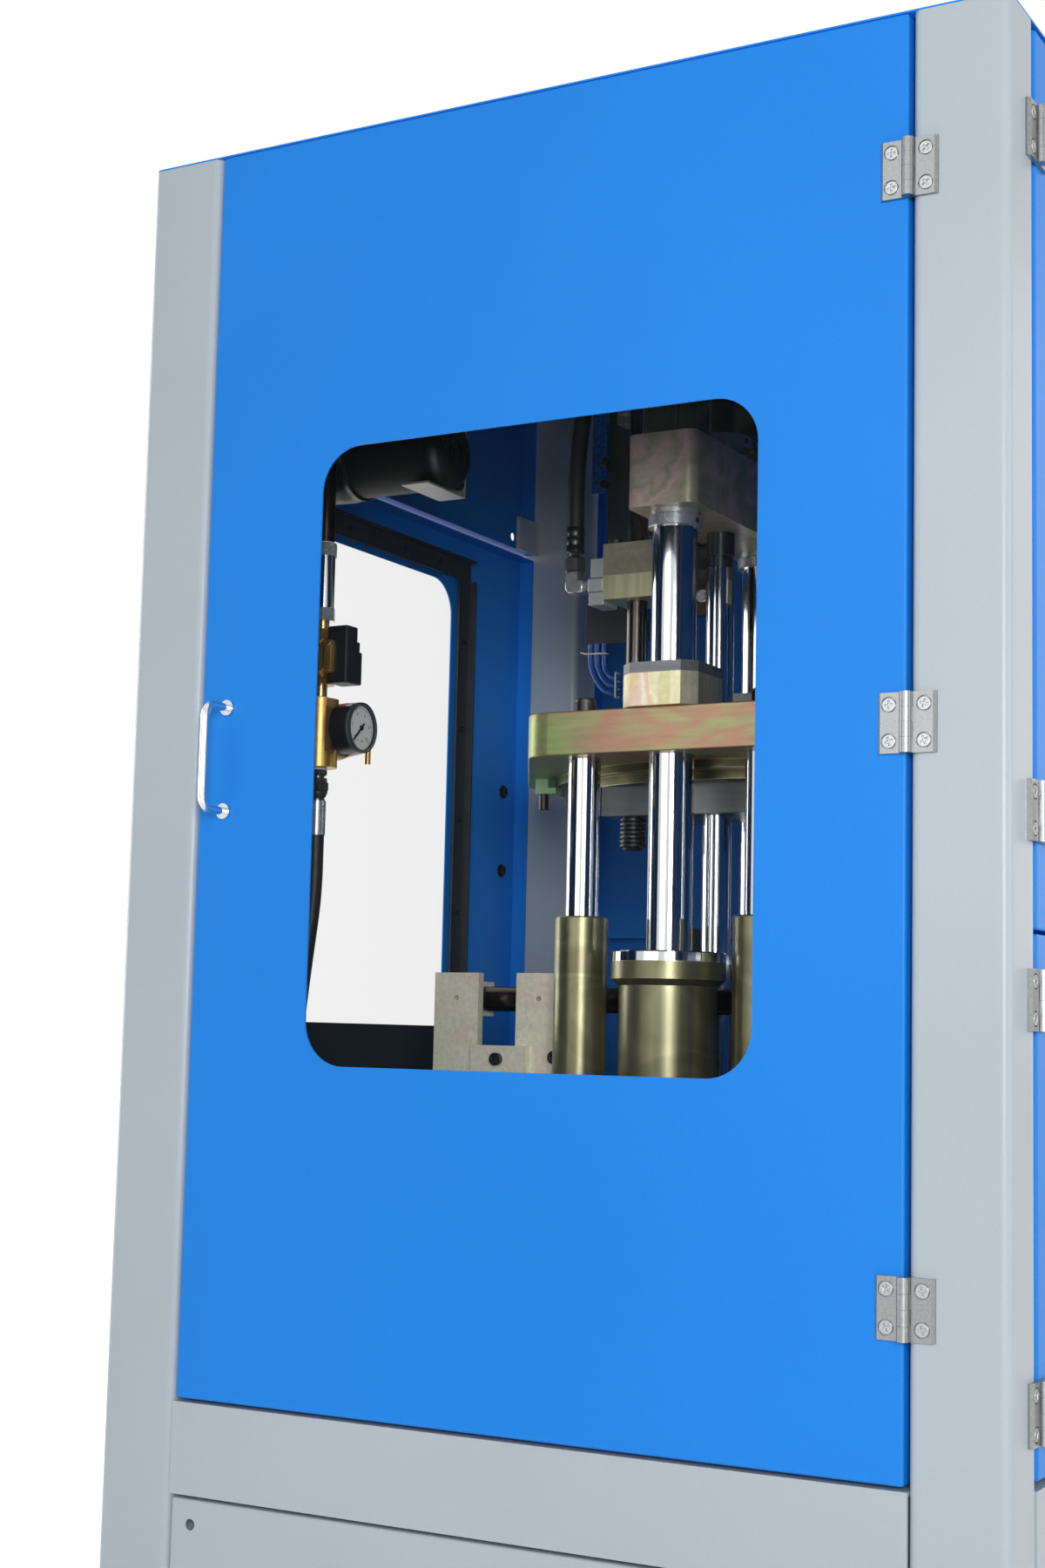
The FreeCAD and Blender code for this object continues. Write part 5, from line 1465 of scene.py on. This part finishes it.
@dataclass
class AirLine:
    """Pipe, valve, regulator and its dial gauge."""

    x: float = -403.0
    y: float = -300.0
    dial: Point = (-342, -300, 1683)
    dial_radius: float = 27.2
    case_radius: float = 31.0
    marks: int = 50
    sweep: float = 270.0

    def dress(self) -> None:
        """Finishes of the line, by height and thickness."""
        for node, finish in {
                "solenoid_valve": BRASS, "pressure_regulator": BRASS,
                "gauge_case": BLACK_PLASTIC, "air_hose": RUBBER,
                "regulator_handle": TURNED_BRASS}.items():
            polish(node, finish)
        wear("gauge_needle", DIAL_BLACK)
        low, high, cone, end, wide = 1819, 1917, 1636, 1595, 13.5
        tube = between(low, high)

        def out(point: Vector) -> float:
            """How far a point is from the line's upright axis."""
            return math.hypot(point.x - self.x, point.y - self.y)

        recast("air_fittings",
               ("air_pipe", BRONZE_STEEL, between(high)),
               ("air_tube_hexagons", ZINC,
                lambda p: tube(p) and out(p) > wide),
               ("air_tube_bright", CHROME,
                lambda p: tube(p) and out(p) < wide),
               ("air_necks", TURNED_BRASS, between(cone, low)),
               ("air_lower_neck", NUT_STEEL, between(end, cone)),
               ("air_ferrule", ZINC, between(0, end)))

    def rings(self, profiles: list[Outline], sides: int) -> Mesh:
        """Turned or hexagonal pieces on the line's axis."""
        place = (shift(self.x, self.y, 0)
                 @ Matrix.Rotation(math.radians(8), 4, "Z"))
        return joined(*(moved(lathe(p, sides), place) for p in profiles))

    def fittings(self) -> None:
        """Nuts and cone of the hose end, and thread tape."""
        settle("hose_end_nuts", self.rings(
            [nut(12.5, 1626.2, 1633.2), nut(14.8, 1606.5, 1618)], 6),
            NUT_STEEL)
        settle("hose_end_cone", self.rings(
            [[(7, 1595.2), (9.5, 1595.2), (9.5, 1597.5), (8.5, 1598.5),
              (10.5, 1600.5), (12.8, 1606.4), (7, 1606.4)]], 40),
            NUT_STEEL)
        settle("thread_tape", self.rings(
            [[(7, z), (10.8, z), (11.2, z + 1.5), (10.6, z + 2.8),
              (7, z + 2.8)] for z in (1633.3, 1721.2, 1917.1)], 32),
            TAPE_WHITE)

    def bonnet(self, x: float, z: float, front: float) -> Mesh:
        """The valve's square cover, tapered away from its flange.

        Args:
            x: The side of the valve.
            z: The height of its middle.
            front: The plane of its front.

        Returns:
            The mesh.
        """
        half, back = 25.5, -290
        work = bmesh.new()
        rings = [[work.verts.new((place * MM, y * MM, (z + tall) * MM))
                  for y, tall in ((front, -reach), (front, reach),
                                  (back, reach), (back, -reach))]
                 for place, reach in ((x, half), (x + 6, half),
                                      (x + 7, half - 4),
                                      (x + 18, half - 5))]
        work.faces.new(rings[0])
        work.faces.new(rings[-1][::-1])
        for low, high in zip(rings, rings[1:]):
            for i in range(4):
                j = (i + 1) % 4
                work.faces.new((low[i], high[i], high[j], low[j]))
        bmesh.ops.recalc_face_normals(work, faces=work.faces)
        soften(work, 1.2)
        return ended(work, "Bonnet")

    def valve(self) -> None:
        """Bonnet flange, ribs and screws, and the stepped coil."""
        x, z, front = -390.5, 1770.5, -324.5
        routes = [[(x + 4, front, z + sign * 19),
                   (x + 10, front - 1, z + sign * 10),
                   (x + 17, front, z + sign * 17)] for sign in (-1, 1)]
        routes += [[(-414, front + 4, z - 20), (-405, front + 1, z - 12),
                    (-394, front + 1, z + 6)],
                   [(-414, front + 4, z + 20), (-400, front + 1, z + 18),
                    (-394, front + 1, z + 10)]]
        ribs = PIPES.along(routes, 2.4, 6, BRASS, 10)
        head = lathe([(0, 0), (4.2, 0), (4.2, 3), (3.4, 4.2), (1.8, 4.2),
                      (1.6, 2.6), (0, 2.6)], 24)
        heads = SCATTER.at(head, [((x + 0.5, front, z + rise), FORWARD)
                                  for rise in (-20, 20)], TURNED_BRASS)
        settle("valve_bonnet", joined(self.bonnet(x, z, front), ribs),
               BRASS)
        settle("bonnet_screws", heads)
        coil = joined(
            block((-382, -319, 1738), (-353, -295, 1809), 2.2),
            block((-382, -318, 1738), (-352.5, -285, 1779), 1.8),
            block((-382, -318, 1778.5), (-352.8, -290, 1791), 1.5))
        stand_in("solenoid_coil", ("coil_shell", coil, BLACK_PLASTIC))

    def facing_out(self, mesh: Mesh, x: float = 0.0) -> Mesh:
        """A piece on the dial's axis, at this x."""
        return moved(mesh, frame_of((x, *self.dial[1:]), SIDEWAYS))

    def tag(self) -> None:
        """A small two-colour tag on the gauge's case, left bare."""
        outer, inner = self.case_radius + 0.3, self.case_radius + 0.1
        middle, half = math.radians(-22), math.radians(16)
        for name, finish, low, high in (
                ("gauge_tag_red", TAG_RED, -362, -353),
                ("gauge_tag_white", DIAL_WHITE, -352.9, -345)):
            work = bmesh.new()
            work.from_mesh(lathe([(inner, low), (outer, low), (outer, high),
                                  (inner, high), (inner, low)], 96))
            bmesh.ops.delete(work, context="FACES", geom=[
                face for face in work.faces if abs(math.atan2(
                    *face.calc_center_median().xy) - middle) > half])
            bmesh.ops.holes_fill(
                work, edges=[e for e in work.edges if e.is_boundary])
            settle(name, self.facing_out(ended(work, name)),
                   finish)

    def spot(self, share: float, radius: float) -> tuple[Point, float]:
        """A place on the dial's face, by its share of the sweep.

        Args:
            share: From 0 at the first mark to 1 at the last.
            radius: How far from the middle.

        Returns:
            The place and its angle.
        """
        angle = math.radians(225 - self.sweep * share)
        x, y, z = self.dial
        return (x + 0.3, y + radius * math.cos(angle),
                z + radius * math.sin(angle)), angle

    def scale(self) -> list[Mesh]:
        """The marks and numbers round the dial.

        Returns:
            Their meshes.
        """
        strokes = []
        for i in range(self.marks + 1):
            long, wide = (4.2, 0.7) if i % 10 == 0 else (2.2, 0.3)
            place, angle = self.spot(i / self.marks,
                                     self.dial_radius - 1.5 - long / 2)
            strokes.append(moved(
                block((-long / 2, -wide / 2, 0), (long / 2, wide / 2, 0.12)),
                shift(*place) @ Matrix.Rotation(angle, 4, "X")
                @ frame_of((0, 0, 0), SIDEWAYS)))
        return strokes + [
            self.number(str(i * 2),
                        self.spot(i / 5, self.dial_radius - 9.2)[0])
            for i in range(6)]

    def face(self) -> None:
        """The white face, its marks and numbers, and the glass."""
        x, y, z = self.dial
        radius = self.dial_radius
        face = lathe([(0, 0), (radius, 0), (radius, 0.3), (0, 0.3)], 48)
        settle("dial_face", self.facing_out(face, x),
               DIAL_WHITE)
        settle("dial_marks", joined(*self.scale()),
               DIAL_BLACK)
        glass = lathe([(0, 0), (27.8, 0), (27.8, 0.6), (0, 0.6)], 48)
        settle("dial_glass", self.facing_out(glass, -339),
               DIAL_GLASS)
        rim = lathe([(27.6, 0), (29.8, 0), (30.9, -1), (31.4, -2.6),
                     (31.4, -6), (30.5, -6.2), (30.5, -1.4), (27.6, -1.4),
                     (27.6, 0)], 72)
        settle("dial_rim", self.facing_out(rim, -337.8),
               RIM_GREY)
        stud = lathe([(0, 0), (1.1, 0), (1.1, 0.4), (0, 0.6)], 16)
        settle("dial_studs", SCATTER.at(stud, [
            ((x + 0.3, y + a, z + b), SIDEWAYS)
            for a, b in ((-6.4, -15.5), (2.2, -16.3))], TURNED_BRASS))

    def number(self, text: str, place: Point) -> Mesh:
        """One plain number of the dial's scale.

        Args:
            text: The number.
            place: Where its middle is.

        Returns:
            The mesh.
        """
        curve = bpy.data.curves.new("Number", "FONT")
        curve.body, curve.size, curve.extrude = text, 6.2 * MM, 0.06 * MM
        curve.align_x, curve.align_y = "CENTER", "CENTER"
        return moved(baked(held("Number", curve)),
                     frame_of(place, SIDEWAYS))

    def build(self) -> None:
        """Dress the line and fit out the valve and the dial."""
        self.dress()
        self.fittings()
        self.valve()
        self.tag()
        self.face()


# -------------------------------------------------------------- power unit
@dataclass
class PowerUnit:
    """Oil tank, ribbed motor and pump behind the lower panels."""

    axis: Point = (-240, 0, 645)
    ribs: int = 30
    joint: float = 50.0

    def build(self) -> None:
        """Dress the unit and rib the motor's shell."""
        polish("oil_tank", TANK_ENAMEL)
        recast("pump_motor",
               ("motor_shell", MOTOR_ENAMEL, lambda p: p.x < self.joint),
               ("pump_shell", TANK_ENAMEL, lambda p: p.x > self.joint))
        rib = block((-1.2, -115, 0), (1.2, 115, 7))
        x, y, z = self.axis
        middle, radius, lowest = x + 139, 87.8, -0.35
        spots = [((middle, y + radius * b, z + radius * a), (0.0, b, a))
                 for a, b in circle(self.ribs) if a > lowest]
        settle("motor_ribs", SCATTER.at(rib, spots, MOTOR_ENAMEL,
                                        up=SIDEWAYS))


# ------------------------------------------------------------------ studio
@dataclass
class Studio:
    """Pale floor, soft light and the camera at the photo's place."""

    eye: Point = (1.18147, -2.57238, 1.31331)
    yaw: float = -29.656
    pitch: float = 6.386
    roll: float = 1.328
    lens: float = 51.69
    sky_level: float = 0.2
    lamps: tuple[tuple[str, Point, float, float, float], ...] = (
        ("Key", (-0.8, -5.0, 2.8), 1.7, 2.6, 32),
        ("Fill", (2.0, -3.6, 1.9), 1.8, 1.2, 78),
        ("Side", (-4.0, -0.3, 2.0), 1.5, 2.4, 60),
        ("Right", (4.2, 0.4, 2.2), 1.5, 2.4, 42),
        ("Back", (0.6, 4.8, 2.6), 1.4, 2.6, 40))

    def camera(self) -> None:
        """Stand the camera where the photo was taken."""
        yaw, pitch, roll = (math.radians(a) for a in (
            self.yaw, self.pitch, self.roll))
        ahead = Vector((math.sin(yaw) * math.cos(pitch),
                        math.cos(yaw) * math.cos(pitch), math.sin(pitch)))
        level = Vector((math.cos(yaw), -math.sin(yaw), 0))
        over = level.cross(ahead)
        right = level * math.cos(roll) + over * math.sin(roll)
        above = over * math.cos(roll) - level * math.sin(roll)
        data = bpy.data.cameras.new("Camera")
        data.lens, data.sensor_width = self.lens, 36.0
        data.clip_start, data.clip_end = 0.05, 60.0
        camera = held("Camera", data)
        turn = Matrix((right, above, -ahead)).transposed().to_4x4()
        camera.matrix_world = Matrix.Translation(self.eye) @ turn
        bpy.context.scene.camera = camera

    def background(self, tree: bpy.types.NodeTree) -> Socket:
        """One where a ray is seen directly, in gloss or through glass.

        Args:
            tree: The nodes of a finish or of the world.

        Returns:
            The grey level.
        """
        path = tree.nodes.new("ShaderNodeLightPath").outputs
        last = path["Is Camera Ray"]
        for name in ("Is Glossy Ray", "Is Transmission Ray"):
            last = made(tree, "ShaderNodeMath", {0: last, 1: path[name]},
                        operation="MAXIMUM").outputs[0]
        return last

    def floor(self) -> None:
        """A pale floor that keeps the machine's shadow."""
        mesh = bpy.data.meshes.new("Floor")
        far = 40.0
        mesh.from_pydata([(-far, -far, 0), (far, -far, 0), (far, far, 0),
                          (-far, far, 0)], [], [(0, 1, 2, 3)])
        graph = Graph("pale_floor")
        away = made(graph.tree, "ShaderNodeVectorMath",
                    {0: graph.object}, operation="LENGTH")
        whiter = graph.span(away.outputs["Value"], 0.45, 0.95, 1.2, 5.0)
        graph.finish(
            Base_Color=graph.mottle("e9e9e8", graph.noise(60.0, 3.0), 0.01),
            Roughness=0.8, Emission_Color=(1, 1, 1, 1),
            Emission_Strength=graph.sum(self.background(graph.tree), whiter,
                                        "MULTIPLY"))
        mesh.materials.append(graph.material)
        held("Floor", mesh)

    def sky(self) -> None:
        """An even white world, dimmer where it lights the object."""
        world = bpy.data.worlds.new("Studio")
        bpy.context.scene.world = world
        world.use_nodes = True
        tree = world.node_tree
        fitted = made(tree, "ShaderNodeMapRange", {
            "Value": self.background(tree), "To_Min": self.sky_level})
        feed(tree.nodes["Background"], {"Color": (1, 1, 1, 1),
                                        "Strength": fitted.outputs[0]})

    def light(self) -> None:
        """Square soft boxes, each with a name, place and target height."""
        for name, place, height, size, power in self.lamps:
            data = bpy.data.lights.new(name, "AREA")
            data.size, data.energy = size, power
            lamp = held(name, data)
            lamp.location = place
            aim = Vector((0, 0, height)) - Vector(place)
            lamp.rotation_euler = aim.to_track_quat("-Z", "Y").to_euler()

    def build(self) -> None:
        """Floor, world, lamps and camera."""
        self.floor()
        self.sky()
        self.light()
        self.camera()
        bpy.context.scene.view_settings.view_transform = "Standard"


def main() -> None:
    """Build every sub-assembly and log each piece as it is made."""
    logging.basicConfig(level=logging.INFO, format="%(name)s: %(message)s")
    for part in (Cabinet(), Press(), HoseFitting(), Silencer(), AirLine(),
                 PowerUnit(), Studio()):
        part.build()
        LOG.info("%s done", type(part).__name__)


if __name__ == "__main__":
    main()
